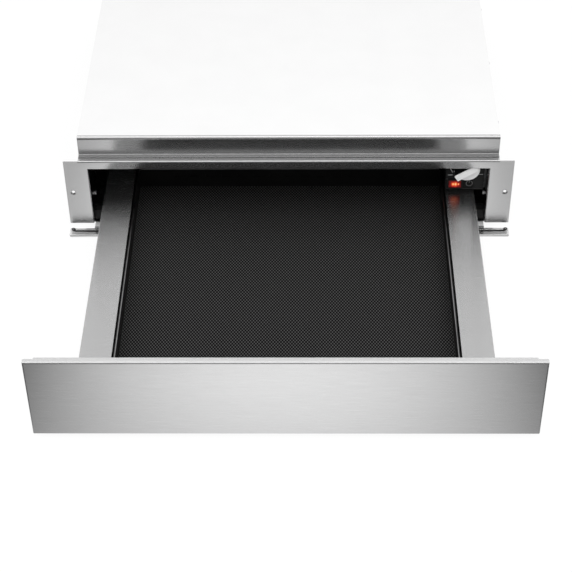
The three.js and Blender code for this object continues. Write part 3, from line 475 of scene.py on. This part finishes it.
give(zincSheet, "base_plate", "rear_wall", "fan_housing", "fan_impeller", *pair("slide_bracket"),
     *pair("front_bracket"))
# the control bracket is made near-black zinc: painted shade that keeps its front edge dark inside
# the opening
give(galvanised("zinc_painted_shade", 0.12).owner, "control_bracket")
give(linedZinc("lined_zinc"), *pair("side_wall"))
give(zincBright, "fan_shaft", "thermostat_shaft", "latch_plate", *pair("frame_screw"),
     *pair("cabinet_rail"), *pair("mid_rail"), *pair("drawer_rail"), *pair("outer_ball_cage"),
     *pair("inner_ball_cage"))
give(whiteCover, "top_cover")
give(enamel, "air_baffle", "drawer_tub", "drawer_rear_rail")
give(blackSatin, "push_latch_body", "cable_gland", "switch_body", *pair("guide_block"))
give(blackGloss, "control_panel")
give(nylon, "push_latch_plunger")
give(steatite, "safety_cutout", "terminal_block", "thermostat_body")
give(motorSteel, "fan_motor")
give(heaterSheath, "heater_element")
give(sleeve, "wire_loom")
give(copper, "thermostat_capillary")
give(lens, "switch_rocker")


print("drawer front")
frontSheet = {"thickness": 1.0 * mm, "bend": 2.2 * mm, "corner": 1.2 * mm, "leastCorner": 0.2 * mm,
              "hem": 22 * mm}


def roundedRing(halfX, halfZ, radius, centre, y, steps=6):
    # a rectangle with round corners in the X, Z plane
    angles = np.linspace(0, math.pi / 2, steps + 1) + np.arange(4)[:, None] * math.pi / 2
    sx, sz = np.array([[1], [-1], [-1], [1]]), np.array([[1], [1], [-1], [-1]])
    x = sx * (halfX - radius) + radius * np.cos(angles)
    z = centre + sz * (halfZ - radius) + radius * np.sin(angles)
    return np.stack([x, np.full(x.shape, y), z], -1).reshape(-1, 3)


def pressedTray(node, hem, opensForward):
    # rounded rectangles from the edge of the face round the bend and back along the edge and the
    # hem, then the same way home a sheet's thickness inside
    low, high = boxOf(node)
    halfX, halfZ = (high[0] - low[0]) / 2, (high[2] - low[2]) / 2
    face, back = (high[1], low[1]) if opensForward else (low[1], high[1])
    depth, way = abs(back - face), 1 if back > face else -1
    t, bend = frontSheet["thickness"], frontSheet["bend"]
    arc = np.linspace(0, math.pi / 2, 7)
    outer = np.stack([bend * (1 - np.sin(arc)), bend * (1 - np.cos(arc))], 1)
    inner = t + (outer * (bend - t) / bend)
    if hem:
        rear = [outer[::-1] * (1, -1) + (0, depth), [(hem, depth), (hem, depth - t)],
                inner * (1, -1) + (0, depth)]
    else:
        rear = [[(0, depth), (t, depth)]]
    path = np.vstack([outer, *rear, inner[::-1]])
    corner, least = frontSheet["corner"], frontSheet["leastCorner"]
    rings = [roundedRing(halfX - i, halfZ - i, max(corner - i, least), (high[2] + low[2]) / 2,
                         face + way * d) for i, d in path]
    return gridShell(np.array(rings), wrapV=True, caps=True)


for name, node, hem, opensForward in (("front_skin", "front_panel", frontSheet["hem"], False),
                                      ("front_liner", "inner_front_panel", 0, True)):
    tray = grainUv(build(name, [pressedTray(node, hem, opensForward)]))
    piece(smooth(tray, 30), "drawer", steelFace, "brushed_steel", node)


print("drawer rims")
rimSheet = {"thickness": 1.0 * mm, "bend": 1.1 * mm, "foot": 11 * mm, "outerDrop": 33 * mm,
            "edge": 0.25 * mm}


def rimShell():
    # up the outer side, over the top, down the inner side and in along the foot
    low, high = boxOf("right_drawer_rim")
    half = rimSheet["thickness"] / 2
    outer, inner = high[0] - half, low[0] + rimSheet["foot"]
    top, foot = high[2] - half, low[2] + half
    fold = roundedLine([(outer, high[2] - rimSheet["outerDrop"]), (outer, top), (inner, top),
                        (inner, foot), (low[0], foot)], rimSheet["bend"])
    return sweepShell(thickLine(fold, rimSheet["thickness"]), 1, low[1], high[1])


for side, shell in (("right", rimShell()), ("left", mirrorShell(rimShell()))):
    rim = grainUv(build(side + "_rim", [shell]), sideAxis=2)
    piece(softEdges(rim, rimSheet["edge"]), "drawer", steelRim, "brushed_steel",
          side + "_drawer_rim")


print("tub edge and mat")
tubEdge = {"radius": 0.8 * mm, "inset": 1.7 * mm, "corner": 4 * mm, "sunk": 0.6}
matLook = {"pitchX": 3.9 * mm, "pitchY": 6.0 * mm, "depth": 0.8 * mm, "border": 0.2 * mm,
           "margin": 1 * mm}


def tubBead():
    # a round bead carried along the tub's top edge, its middle sunk by a share of its radius
    low, high = boxOf("drawer_tub")
    corners = np.array([(low[0], low[1]), (high[0], low[1]), (high[0], high[1]),
                        (low[0], high[1])])
    middle = (low[:2] + high[:2]) / 2
    corners = middle + (corners - middle) * (1 - tubEdge["inset"] * 2 / (high[:2] - low[:2]))
    start = (corners[0] + corners[1]) / 2
    loop = roundedLine([start, *corners[[1, 2, 3, 0]], start], tubEdge["corner"])[:-1]
    ahead = np.roll(loop, -1, 0) - np.roll(loop, 1, 0)
    ahead /= np.linalg.norm(ahead, axis=1)[:, None]
    aside = np.stack([ahead[:, 1], -ahead[:, 0], np.zeros(len(loop))], 1)
    turn = np.linspace(0, 2 * math.pi, 10, endpoint=False)[:, None]
    radius = tubEdge["radius"]
    centre = np.column_stack([loop, np.full(len(loop), high[2] - radius * tubEdge["sunk"])])
    spokes = np.cos(turn) * aside[:, None] + np.sin(turn) * np.array([0, 0, 1])
    points = centre[:, None] + radius * spokes
    return gridShell(points, wrapU=True, wrapV=True)


def heightField(x, y, height, low):
    # a closed slab: the grid of heights on top, its border dropped to low, and a flat underside
    grow = lambda a: np.pad(a, 1, mode="edge")
    points = np.stack([grow(x), grow(y), np.pad(height, 1, constant_values=low)], -1)
    top, faces = gridShell(points)
    index = np.arange(len(top)).reshape(points.shape[:2])
    border = np.concatenate([index[:-1, 0], index[-1, :-1], index[:0:-1, -1], index[0, :0:-1]])
    return top, faces + [border[::-1].tolist()]


def matShell():
    # height = top - depth (1 + cos(2 pi x / pitchX) cos(2 pi y / pitchY)) / 2, with two steps a
    # cell in X and four in Y
    low, high = boxOf("anti_slip_mat")
    px, py, margin = matLook["pitchX"], matLook["pitchY"], matLook["margin"]
    middle = (low[1] + high[1]) / 2
    countX = int((high[0] - margin) / (px / 2))
    countY = int(((high[1] - low[1]) / 2 - margin) / (py / 4))
    xs = np.r_[low[0], np.arange(-countX, countX + 1) * px / 2, high[0]]
    ys = np.r_[low[1], middle + np.arange(-countY, countY + 1) * py / 4, high[1]]
    x, y = np.meshgrid(xs, ys, indexing="ij")
    cell = np.cos(2 * math.pi * x / px) * np.cos(2 * math.pi * (y - middle) / py)
    height = high[2] - matLook["depth"] * (1 + cell) / 2
    height[[0, -1]] = high[2] - matLook["border"]
    height[:, [0, -1]] = high[2] - matLook["border"]
    return heightField(x, y, height, low[2]), middle


# the bead along the tub's top edge carries the painted highlight material
piece(smooth(build("tub_edge", [tubBead()])), "drawer", tubBeadHighlight, "black_enamel")
shell, middleY = matShell()
piece(smooth(build("dimpled_mat", [shell]), 60), "drawer",
      siliconeMat("silicone_mat", matLook["pitchX"], matLook["pitchY"], middleY), "mat_rubber",
      "anti_slip_mat")


print("front frame")
frameSheet = {"thickness": 1.2 * mm, "bend": 2.0 * mm, "sideWidth": 32.6 * mm,
              "headWidth": 13.2 * mm, "returnStep": 2.6 * mm, "ledge": 16 * mm, "edge": 0.15 * mm,
              "edgeAngle": 18}
holeLook = {"inset": 9 * mm, "height": 61 * mm, "radius": 2.0 * mm, "sinkRadius": 4.3 * mm,
            "sinkDepth": 1.15 * mm, "over": 0.3 * mm, "depth": 2 * mm}
upstandSheet = {"thickness": 1.2 * mm, "foot": 7.2 * mm, "bends": (1.6 * mm, 3.2 * mm),
                "edge": 0.25 * mm}


def sheetGrid(us, vs, place):
    # a patch of sheet: place(u, v) on the grid of the two lists
    u, v = np.meshgrid(us, vs, indexing="ij")
    return gridShell(np.stack(np.broadcast_arrays(*place(u, v)), -1).astype(float))


def frontFrame():
    # the sheet's outer face as an open surface: flat cells round the opening, and from their edges
    # the bends and returns, which meet in a mitre at the opening's upper corners
    low, high = boxOf("front_frame")
    shoulder = boxOf("top_upstand")[1][0]
    bend, step = frameSheet["bend"], frameSheet["returnStep"]
    side, head = high[0] - frameSheet["sideWidth"], high[2] - frameSheet["headWidth"]
    arc = np.linspace(0, math.pi / 2, 9)
    inset, depth = bend * (1 - np.sin(arc)), bend * (1 - np.cos(arc))
    flat = lambda x, z: (x, 0 * x, z)
    xs, zs = [side + bend, shoulder, high[0]], [low[2], head + bend]
    top = high[2] - bend
    patches = [sheetGrid(xs, zs, flat),
               sheetGrid([0, side + bend, shoulder, high[0]], [head + bend, top], flat),
               sheetGrid([shoulder, high[0]], [top, high[2]], flat)]
    share = np.array([0, 1.0])
    steps = np.arange(len(arc))
    patches += [
        sheetGrid(share, steps, lambda u, k: (side + inset[k], depth[k],
                                              low[2] + u * (head + inset[k] - low[2]))),
        sheetGrid([low[2], head], [bend, step, high[1]], lambda z, y: (side + 0 * y, y, z)),
        sheetGrid(share, steps, lambda u, k: (u * (side + inset[k]), depth[k], head + inset[k])),
        sheetGrid([0, side], [bend, step], lambda x, y: (x, y, head + 0 * x)),
        sheetGrid([0, side + bend, shoulder], steps,
                  lambda x, k: (x, depth[k], high[2] - inset[k])),
        sheetGrid([0, side + bend, shoulder], [bend, frameSheet["ledge"]],
                  lambda x, y: (x, y, high[2] + 0 * x)),
    ]
    obj = build("front_frame_sheet", patches + [mirrorShell(p) for p in patches], (0, -1, 0))
    solid = obj.modifiers.new("sheet", "SOLIDIFY")
    solid.thickness, solid.offset = frameSheet["thickness"], -1
    solid.use_even_offset = True
    bakeModifiers(obj)
    # the drill starts a little before the face, narrows over the countersink and then runs straight
    r, sink, over = (holeLook[k] for k in ("radius", "sinkRadius", "over"))
    profile = [(sink + over, -over), (sink, 0), (r, holeLook["sinkDepth"]), (r, holeLook["depth"])]
    for x in (high[0] - holeLook["inset"], holeLook["inset"] - high[0]):
        drill = build("drill", [latheShell(profile, (x, 0, holeLook["height"]), 1)])
        cut = obj.modifiers.new("hole", "BOOLEAN")
        cut.operation, cut.solver, cut.object = "DIFFERENCE", "EXACT", drill
        bakeModifiers(obj)
        bpy.data.objects.remove(drill)
    return obj


def upstandShell():
    # back along the foot, up the wall and back along the top
    low, high = boxOf("top_upstand")
    half = upstandSheet["thickness"] / 2
    wall = low[1] + upstandSheet["foot"]
    fold = roundedLine([(low[1], low[2] + half), (wall, low[2] + half), (wall, high[2] - half),
                        (high[1], high[2] - half)], upstandSheet["bends"])
    return sweepShell(thickLine(fold, upstandSheet["thickness"]), 0, low[0], high[0])


frameObject = softEdges(grainUv(frontFrame()), frameSheet["edge"], angle=frameSheet["edgeAngle"])
piece(frameObject, "housing", steelFrame, "brushed_steel", "front_frame")
upstand = softEdges(grainUv(build("upstand_sheet", [upstandShell()])), upstandSheet["edge"])
piece(upstand, "housing", steelFrame, "brushed_steel", "top_upstand")


print("bottom trim")
trimLook = {"rearDrop": 0.7 * mm, "groove": 11 * mm, "grooveHalf": 2.4 * mm,
            "grooveDepth": 2.2 * mm, "grooveCorner": 5 * mm, "endBead": 4.2 * mm,
            "endSpan": 14 * mm, "corner": 3 * mm, "edge": 1.3 * mm, "rearSlope": 3.2 * mm,
            "least": 0.3 * mm}
# the black strip along the trim's groove: painted shade that darkens the groove
grooveStripLook = {"width": 4.0 * mm, "low": 0.9 * mm, "top": 2.9 * mm, "corner": 2.4 * mm,
                "plugRadius": 3 * mm, "plugY": -7.5 * mm, "plugTop": 3.35 * mm,
                "plugEdge": 0.2 * mm, "pinRadius": 1 * mm}


def trimShell():
    # height over the plan: a bead along the front that turns back round both ends, a groove inside
    # it, and a lower band behind. The groove's middle is a line with round corners, the depth falls
    # off with the square of the distance from it, the front and end edges are rounded, and the rear
    # one slopes down. Most of the grid's columns lie in the end spans, where the shape turns.
    low, high = boxOf("bottom_trim")
    r, edge, span = trimLook["corner"], trimLook["edge"], trimLook["endSpan"]
    ends = np.linspace(0, span, 42)
    xs = np.unique(np.r_[high[0] - ends, np.linspace(0, high[0] - span, 24)])
    xs = np.r_[-xs[:0:-1], xs]
    share = np.linspace(0, 1, 46)
    x, v = np.meshgrid(xs, share, indexing="ij")
    over = np.clip(np.abs(x) - (high[0] - r), 0, r)
    front = low[1] + r - np.sqrt(np.clip(r * r - over * over, 0, None))
    y = high[1] + (front - high[1]) * v
    bend, leg = trimLook["grooveCorner"], high[0] - trimLook["endBead"]
    line = -trimLook["groove"]
    dx, dy = np.abs(x) - (leg - bend), (line + bend) - y
    away = np.where((dx > 0) & (dy > 0), np.abs(np.hypot(dx, dy) - bend),
                    np.where(dx > 0, np.abs(np.abs(x) - leg), np.abs(y - line)))
    inside = (np.abs(x) < leg) & (y > line) & ~((dx > 0) & (dy > 0) & (np.hypot(dx, dy) > bend))
    dip = np.clip(1 - (away / trimLook["grooveHalf"]) ** 2, 0, 1)
    drop = np.where(inside, trimLook["rearDrop"], 0)
    height = high[2] - drop - (trimLook["grooveDepth"] - drop) * dip
    near = np.minimum(y - front, high[0] - np.abs(x))
    lift = np.clip(1 - near / edge, 0, 1)
    slope = (high[1] - y) / trimLook["rearSlope"] * high[2]
    height = np.minimum(height - edge * (1 - np.sqrt(1 - lift * lift)), slope)
    height = np.maximum(height, low[2] + trimLook["least"])
    return heightField(x, y, height, low[2])


trim = grainUv(build("trim_strip", [trimShell()]))
piece(smooth(trim, 50), "housing", steelTrim, "brushed_steel", "bottom_trim")


def grooveShadeStrip():
    # a black strip in the groove, painted shade that darkens it, which ends in a round plug at each
    # side, and the plugs' steel pins
    high = boxOf("bottom_trim")[1]
    leg, line = high[0] - trimLook["endBead"], -trimLook["groove"]
    low, y, edge = (grooveStripLook[k] for k in ("low", "plugY", "plugEdge"))
    path = roundedLine([(-leg, y), (-leg, line), (leg, line), (leg, y)], grooveStripLook["corner"])
    strip = sweepShell(thickLine(path, grooveStripLook["width"]), 2, low, grooveStripLook["top"])

    def turned(radius, top):
        profile = [(radius, low), (radius, top - edge), (radius - edge, top)]
        return [latheShell(profile, (x, y, 0), 2, 32) for x in (-leg, leg)]

    plugs = turned(grooveStripLook["plugRadius"], grooveStripLook["plugTop"])
    return [strip, *plugs], turned(grooveStripLook["pinRadius"], high[2])


grooveShade, pins = grooveShadeStrip()
# painted shade: the black strip darkens the groove
piece(smooth(build("groove_shade_strip", grooveShade), 35), "housing", blackStripRubber, "bumper_rubber")
piece(smooth(build("trim_pins", pins), 35), "housing", zincBright, "polished_steel")


print("pads and seals on the base plate")
# pale pads between the drawer and the sides of the opening: painted light, standing for light
# that falls on the front of the base plate there
litPads = {"inner": 252.2 * mm, "outer": 264.2 * mm, "front": 0.6 * mm, "rear": 9.5 * mm,
             "lift": 0, "top": 2.4 * mm, "edge": 0.3 * mm}
# dark beads in the corners between the base plate and the side walls
cornerSeals = {"inner": 274.8 * mm, "outer": 276.5 * mm, "front": 46 * mm, "rear": 452 * mm,
               "lift": 0.02 * mm, "top": 2.6 * mm, "edge": 0.3 * mm}


def floorBars(name, look):
    # a bar along the base plate and its mirror image
    floor = boxOf("base_plate")[1][2] + look["lift"]
    x0, x1, y0, y1 = (look[k] for k in ("inner", "outer", "front", "rear"))
    bar = sweepShell([(x0, y0), (x1, y0), (x1, y1), (x0, y1)], 2, floor, look["top"])
    return softEdges(build(name, [bar, mirrorShell(bar)]), look["edge"])


# painted light: pale pads where the base plate's front is lit
piece(floorBars("lit_pads_painted", litPads), "housing", litPadPlastic, "white_nylon")
piece(floorBars("corner_seals", cornerSeals), "housing", blackStripRubber, "bumper_rubber")


print("controls")
knobLook = {"axis": (237.1 * mm, 89.3 * mm), "pointer": 213, "radius": 16.8 * mm,
            "face": 9.5 * mm, "capDepth": 1.8 * mm, "skirtInset": 0.6 * mm, "moonFlat": 0.3 * mm,
            "barFace": 3 * mm, "barWidth": 9.5 * mm, "barCorner": 1 * mm, "tip": 17.8 * mm,
            "tail": 14.8 * mm, "edge": 0.6 * mm, "edgeSegments": 3, "skirtEdge": 0.3 * mm}
markLook = {"proud": 0.06 * mm, "sunk": 0.2 * mm, "stroke": 0.9 * mm,
            "scale": np.array([[(213.9, 67.6), (219.9, 67.6)], [(255.4, 68.4), (260.9, 68.4)],
                               [(216.6, 77.7), (220.3, 71.8)], [(221.1, 74.3), (225.0, 70.4)]]),
            "dash": np.array([(212.3, 60.8), (213.6, 60.8)]),
            "power": (243.3 * mm, 53.2 * mm), "ring": 4.2 * mm, "ringFrom": 115, "ringTo": 425,
            "stem": (1.2 * mm, 5.6 * mm),
            "ridge": np.array([(214, 44.3), (261, 44.3)]), "ridgeStroke": 0.7 * mm}


def knobShells():
    # a half moon and, proud of it along its straight side, a bar: each a thin cap on a skirt of the
    # same outline, a little smaller. The outlines lie in the pointer's own axes.
    back = boxOf("temperature_knob")[1][1]
    half, r = knobLook["barWidth"] / 2, knobLook["barCorner"]
    angle = math.radians(knobLook["pointer"])
    turn = np.array([[math.cos(angle), math.sin(angle)], [-math.sin(angle), math.cos(angle)]])
    centre = np.array(knobLook["axis"])

    def moon(inset, start, end):
        radius = knobLook["radius"] - inset
        first = math.degrees(math.asin((knobLook["moonFlat"] + inset) / radius))
        outline = arcLine((0, 0), radius, first, 180 - first, 60)
        return sweepShell(outline @ turn + centre, 1, start, end)

    def bar(inset, start, end):
        tip, tail = knobLook["tip"] - inset - r, inset + r - knobLook["tail"]
        flat = half - inset - r
        corners = ((tip, flat, 0), (tail, flat, 90), (tail, -flat, 180), (tip, -flat, 270))
        outline = np.vstack([arcLine((x, z), r, a, a + 90, 5) for x, z, a in corners])
        return sweepShell(outline @ turn + centre, 1, start, end)

    face, barFace = knobLook["face"], knobLook["barFace"]
    deep, inset = knobLook["capDepth"], knobLook["skirtInset"]
    return ([moon(0, face, face + deep), bar(0, barFace, barFace + deep)],
            [moon(inset, face + deep, back), bar(inset, barFace + deep, back)])


def panelMarks(name, lines, width):
    # flat strokes on the control panel's face
    face = boxOf("control_panel")[0][1]
    start, end = face - markLook["proud"], face + markLook["sunk"]
    return build(name, [sweepShell(thickLine(np.array(line), width), 1, start, end)
                        for line in lines])


cap, skirt = knobShells()
piece(softEdges(build("knob_cap", cap), knobLook["edge"], knobLook["edgeSegments"]), "knob",
      knobPlastic, "knob_satin", "temperature_knob")
piece(softEdges(build("knob_skirt", skirt), knobLook["skirtEdge"]), "knob", blackSatin,
      "black_plastic")
piece(panelMarks("scale_marks", markLook["scale"] * mm, markLook["stroke"]), "housing", markPaint,
      "knob_satin")
middle = markLook["power"]
ring = arcLine(middle, markLook["ring"], markLook["ringFrom"], markLook["ringTo"], 40)
stem = [(middle[0], middle[1] + rise) for rise in markLook["stem"]]
piece(panelMarks("power_symbol", [markLook["dash"] * mm, ring, stem], markLook["stroke"]),
      "housing", symbolPaint, "knob_satin")
piece(panelMarks("panel_ridge", [markLook["ridge"] * mm], markLook["ridgeStroke"]), "housing",
      ridgePlastic, "black_plastic")


print("screws and bumpers")
screwLook = {"head": 3.4 * mm, "height": 2.0 * mm, "recess": 1.9 * mm, "deep": 1.2 * mm,
             "sunk": 0.2 * mm, "chamfer": 0.15 * mm}
# in mm: the X or Y and the Z of each row
screwRows = {"rear": ((-262, 262), (14, 70, 126)), "rearLow": ((-110, 0, 110), (9,)),
             "side": ((60, 200, 340, 480), (9, 130)), "liner": ((-170, 0, 170), (40, 88))}
domeLook = {"power": 0.6, "tip": 0.3 * mm}


def screwShell(place, axis, way):
    # a pan head: the inner rows follow a cross, radius times 0.42 + 0.58 cos(2 a) ^ 4
    head, tall, recess, deep = (screwLook[k] for k in ("head", "height", "recess", "deep"))
    profile = np.array([(head, -screwLook["sunk"]), (head, 0.35 * tall), (head * 0.93, 0.62 * tall),
                        (head * 0.8, 0.85 * tall), (head * 0.62, tall), (recess, tall),
                        (recess * 0.9, tall - screwLook["chamfer"]), (recess * 0.6, tall - deep)])
    crossed = np.array([0, 0, 0, 0, 0.15, 1, 1, 1])[:, None]
    cross = lambda a: 1 - crossed * (1 - (0.42 + 0.58 * np.cos(2 * a) ** 4))
    profile[:, 1] *= way
    return latheShell(profile, place, axis, 32, cross)


def screwsOn(face, axis, way, row):
    # screws on the plane where that axis is face, at every pair of the row's two lists
    first, heights = screwRows[row]
    place = lambda at, z: (face, at * mm, z * mm) if axis == 0 else (at * mm, face, z * mm)
    return [screwShell(place(at, z), axis, way) for at in first for z in heights]


rear = boxOf("rear_wall")[1][1]
wall = boxOf("right_side_wall")[1][0]
liner = boxOf("inner_front_panel")[1][1]
rearScrews = screwsOn(rear, 1, 1, "rear") + screwsOn(rear, 1, 1, "rearLow")
sideScrews = screwsOn(-wall, 0, -1, "side") + screwsOn(wall, 0, 1, "side")
linerScrews = screwsOn(liner, 1, 1, "liner")
for name, shells, body in (("rear_screws", rearScrews, "housing"),
                           ("side_screws", sideScrews, "housing"),
                           ("liner_screws", linerScrews, "drawer")):
    piece(smooth(build(name, shells), 40), body, zincBright, "polished_steel")

for name in [*pair("lower_bumper"), *pair("upper_bumper")]:
    # a low dome: radius times cos(a) ^ power at height sin(a), with a small flat tip
    low, high = boxOf(name)
    centre, radius, tall = (low + high) / 2, (high[0] - low[0]) / 2, high[1] - low[1]
    bow = np.linspace(0, math.pi / 2, 8)[:-1]
    rows = np.stack([radius * np.cos(bow) ** domeLook["power"], tall * np.sin(bow)], 1)
    rows = np.vstack([rows, [(domeLook["tip"], tall)]])
    dome = latheShell(rows, (centre[0], low[1], centre[2]), 1)
    piece(smooth(build(name + "_dome", [dome]), 50), "drawer", bumperRubber, "bumper_rubber", name)


print("studio")
cameraLook = {"place": (27.9 * mm, -1643.2 * mm, 1358.9 * mm), "yaw": 0.0202, "pitch": 0.7284,
              "roll": -0.0141, "lens": 98.56, "sensor": 36, "reach": 100}
# brightness at shares of the half circle from the front horizon over the top to the rear one
sky = {"ambient": 0.8, "strength": 1.9,
       "stops": [(0.0, 0.05), (0.15, 0.05), (0.2, 0.26), (0.3, 0.24), (0.4, 0.16), (0.48, 1.0),
                 (0.62, 0.95), (0.67, 0.42), (0.75, 0.3), (0.79, 0.42), (0.86, 0.62), (1.0, 0.6)]}
# near, far and dip are pairs of Y in metres between which the pool's brightness changes: to the
# tone beside the housing, up from farLevel to its full strength, and down to dipLevel, which is a
# painted shadow in front of and under the drawer. The tone beside the housing goes from one side
# level to the other between two shares of halfWidth.
pool = {"halfWidth": 0.36, "rim": 0.11, "falloff": 0.95, "strength": 1.2, "near": (-0.38, -0.28),
        "far": (-1.6, -0.8), "farLevel": 0.15, "dip": (-0.52, -0.4), "dipLevel": 0.8,
        "sideLevels": (0.8, 0.62), "sideFrom": 0.75, "sideTo": 0.868}
floorLook = {"halfSize": 6.0, "drop": 0.3 * mm, "grey": 0.86, "white": 1.05, "whiteShare": 0.87}
lamp = {"place": (0.15, -0.9, 1.9), "target": (0, 0, 0), "size": (1.9, 1.3), "power": 14}


def makeCamera():
    yaw, pitch, roll = (cameraLook[k] for k in ("yaw", "pitch", "roll"))
    right = Vector((math.cos(yaw), math.sin(yaw), 0))
    level = Vector((-math.sin(yaw), math.cos(yaw), 0))
    up = level * math.sin(pitch) + Vector((0, 0, 1)) * math.cos(pitch)
    ahead = level * math.cos(pitch) - Vector((0, 0, 1)) * math.sin(pitch)
    across = right * math.cos(roll) + up * math.sin(roll)
    upright = up * math.cos(roll) - right * math.sin(roll)
    data = bpy.data.cameras.new("camera")
    data.sensor_width, data.lens = cameraLook["sensor"], cameraLook["lens"]
    data.clip_end = cameraLook["reach"]
    obj = bpy.data.objects.new("camera", data)
    scene.collection.objects.link(obj)
    turn = Matrix((across, upright, -ahead)).transposed().to_4x4()
    obj.matrix_world = Matrix.Translation(cameraLook["place"]) @ turn
    scene.camera = obj


def makeLamp():
    data = bpy.data.lights.new("softbox", "AREA")
    data.shape, data.energy = "RECTANGLE", lamp["power"]
    data.size, data.size_y = lamp["size"]
    obj = bpy.data.objects.new("softbox", data)
    scene.collection.objects.link(obj)
    aim = Vector(lamp["target"]) - Vector(lamp["place"])
    turn = aim.to_track_quat("-Z", "Y").to_matrix().to_4x4()
    obj.matrix_world = Matrix.Translation(lamp["place"]) @ turn
    obj.visible_glossy = False      # the metal mirrors the sky and floor alone


def makeWorld():
    # plain white to the camera and even light on the object; metal mirrors a sky whose brightness
    # follows the angle from the front horizon over the top to the rear horizon
    world = bpy.data.worlds.new("studio")
    scene.world = world
    m = Shading(world)
    axes = m.node("SeparateXYZ", {"Vector": m.node("TexCoord").outputs["Generated"]})
    over = m.math("ARCTAN2", axes.outputs["Z"], m.math("MULTIPLY", axes.outputs["Y"], -1.0))
    arch = m.colours(m.math("DIVIDE", over, math.pi),
                     *[(at, grey(bright * sky["strength"])) for at, bright in sky["stops"]])
    path = m.node("LightPath").outputs
    lit = m.mix(path["Is Glossy Ray"], opaque(sky["ambient"]), arch)
    seen = m.math("MAXIMUM", path["Is Camera Ray"], path["Is Transmission Ray"])
    m.put(m.tree.nodes["Background"].inputs["Color"], m.mix(seen, lit, opaque(1)))


def makeFloor():
    # white to the camera apart from a soft shadow; metal mirrors a pool of light in front, a
    # little dimmer near the object, where a shadow is painted in, and a flatter tone beside the
    # housing. The pool's brightness is rim + (1 - rim) (1 - d ^ 2) ^ falloff, where d is the
    # distance from the middle over halfWidth.
    size = floorLook["halfSize"]
    corners = np.array([(-size, -size, 0), (size, -size, 0), (size, size, 0), (-size, size, 0)])
    obj = build("floor", [(corners - (0, 0, floorLook["drop"]), [[0, 1, 2, 3]])], (0, 0, 1))
    m = newMaterial("floor")
    m.surface(Base_Color=opaque(floorLook["grey"]), Roughness=0.9, Specular_IOR_Level=0.0)
    path = m.node("LightPath").outputs
    y = m.along("Y")
    aside = m.math("DIVIDE", m.math("ABSOLUTE", m.along("X")), pool["halfWidth"])
    inside = m.math("MAXIMUM", m.math("SUBTRACT", 1.0, m.math("MULTIPLY", aside, aside)), 0.0)
    front = m.remap(m.math("POWER", inside, pool["falloff"]), pool["rim"], 1.0)
    sides = m.remap(aside, *pool["sideLevels"], pool["sideFrom"], pool["sideTo"])
    mirrored = m.mix(m.remap(y, 0.0, 1.0, *pool["near"]), front, sides)
    fade = m.math("MULTIPLY", m.remap(y, pool["farLevel"], pool["strength"], *pool["far"]),
                  # the second factor is a painted shadow: the mirrored floor dims under and just in
                  # front of the drawer
                  m.remap(y, 1.0, pool["dipLevel"], *pool["dip"]))
    glossy = m.node("Emission", {"Color": mirrored, "Strength": fade}).outputs[0]
    white = m.node("Emission", {"Color": opaque(1), "Strength": floorLook["white"]}).outputs[0]
    share = m.math("MULTIPLY", path["Is Camera Ray"], floorLook["whiteShare"])
    seen = m.node("MixShader", {0: share, 1: m.shader.outputs[0], 2: white}).outputs[0]
    both = m.node("MixShader", {0: path["Is Glossy Ray"], 1: seen, 2: glossy}).outputs[0]
    m.put(m.tree.nodes["Material Output"].inputs["Surface"], both)
    obj.data.materials.append(m.owner)


makeCamera()
makeLamp()
makeWorld()
makeFloor()
scene.view_settings.view_transform = "Standard"
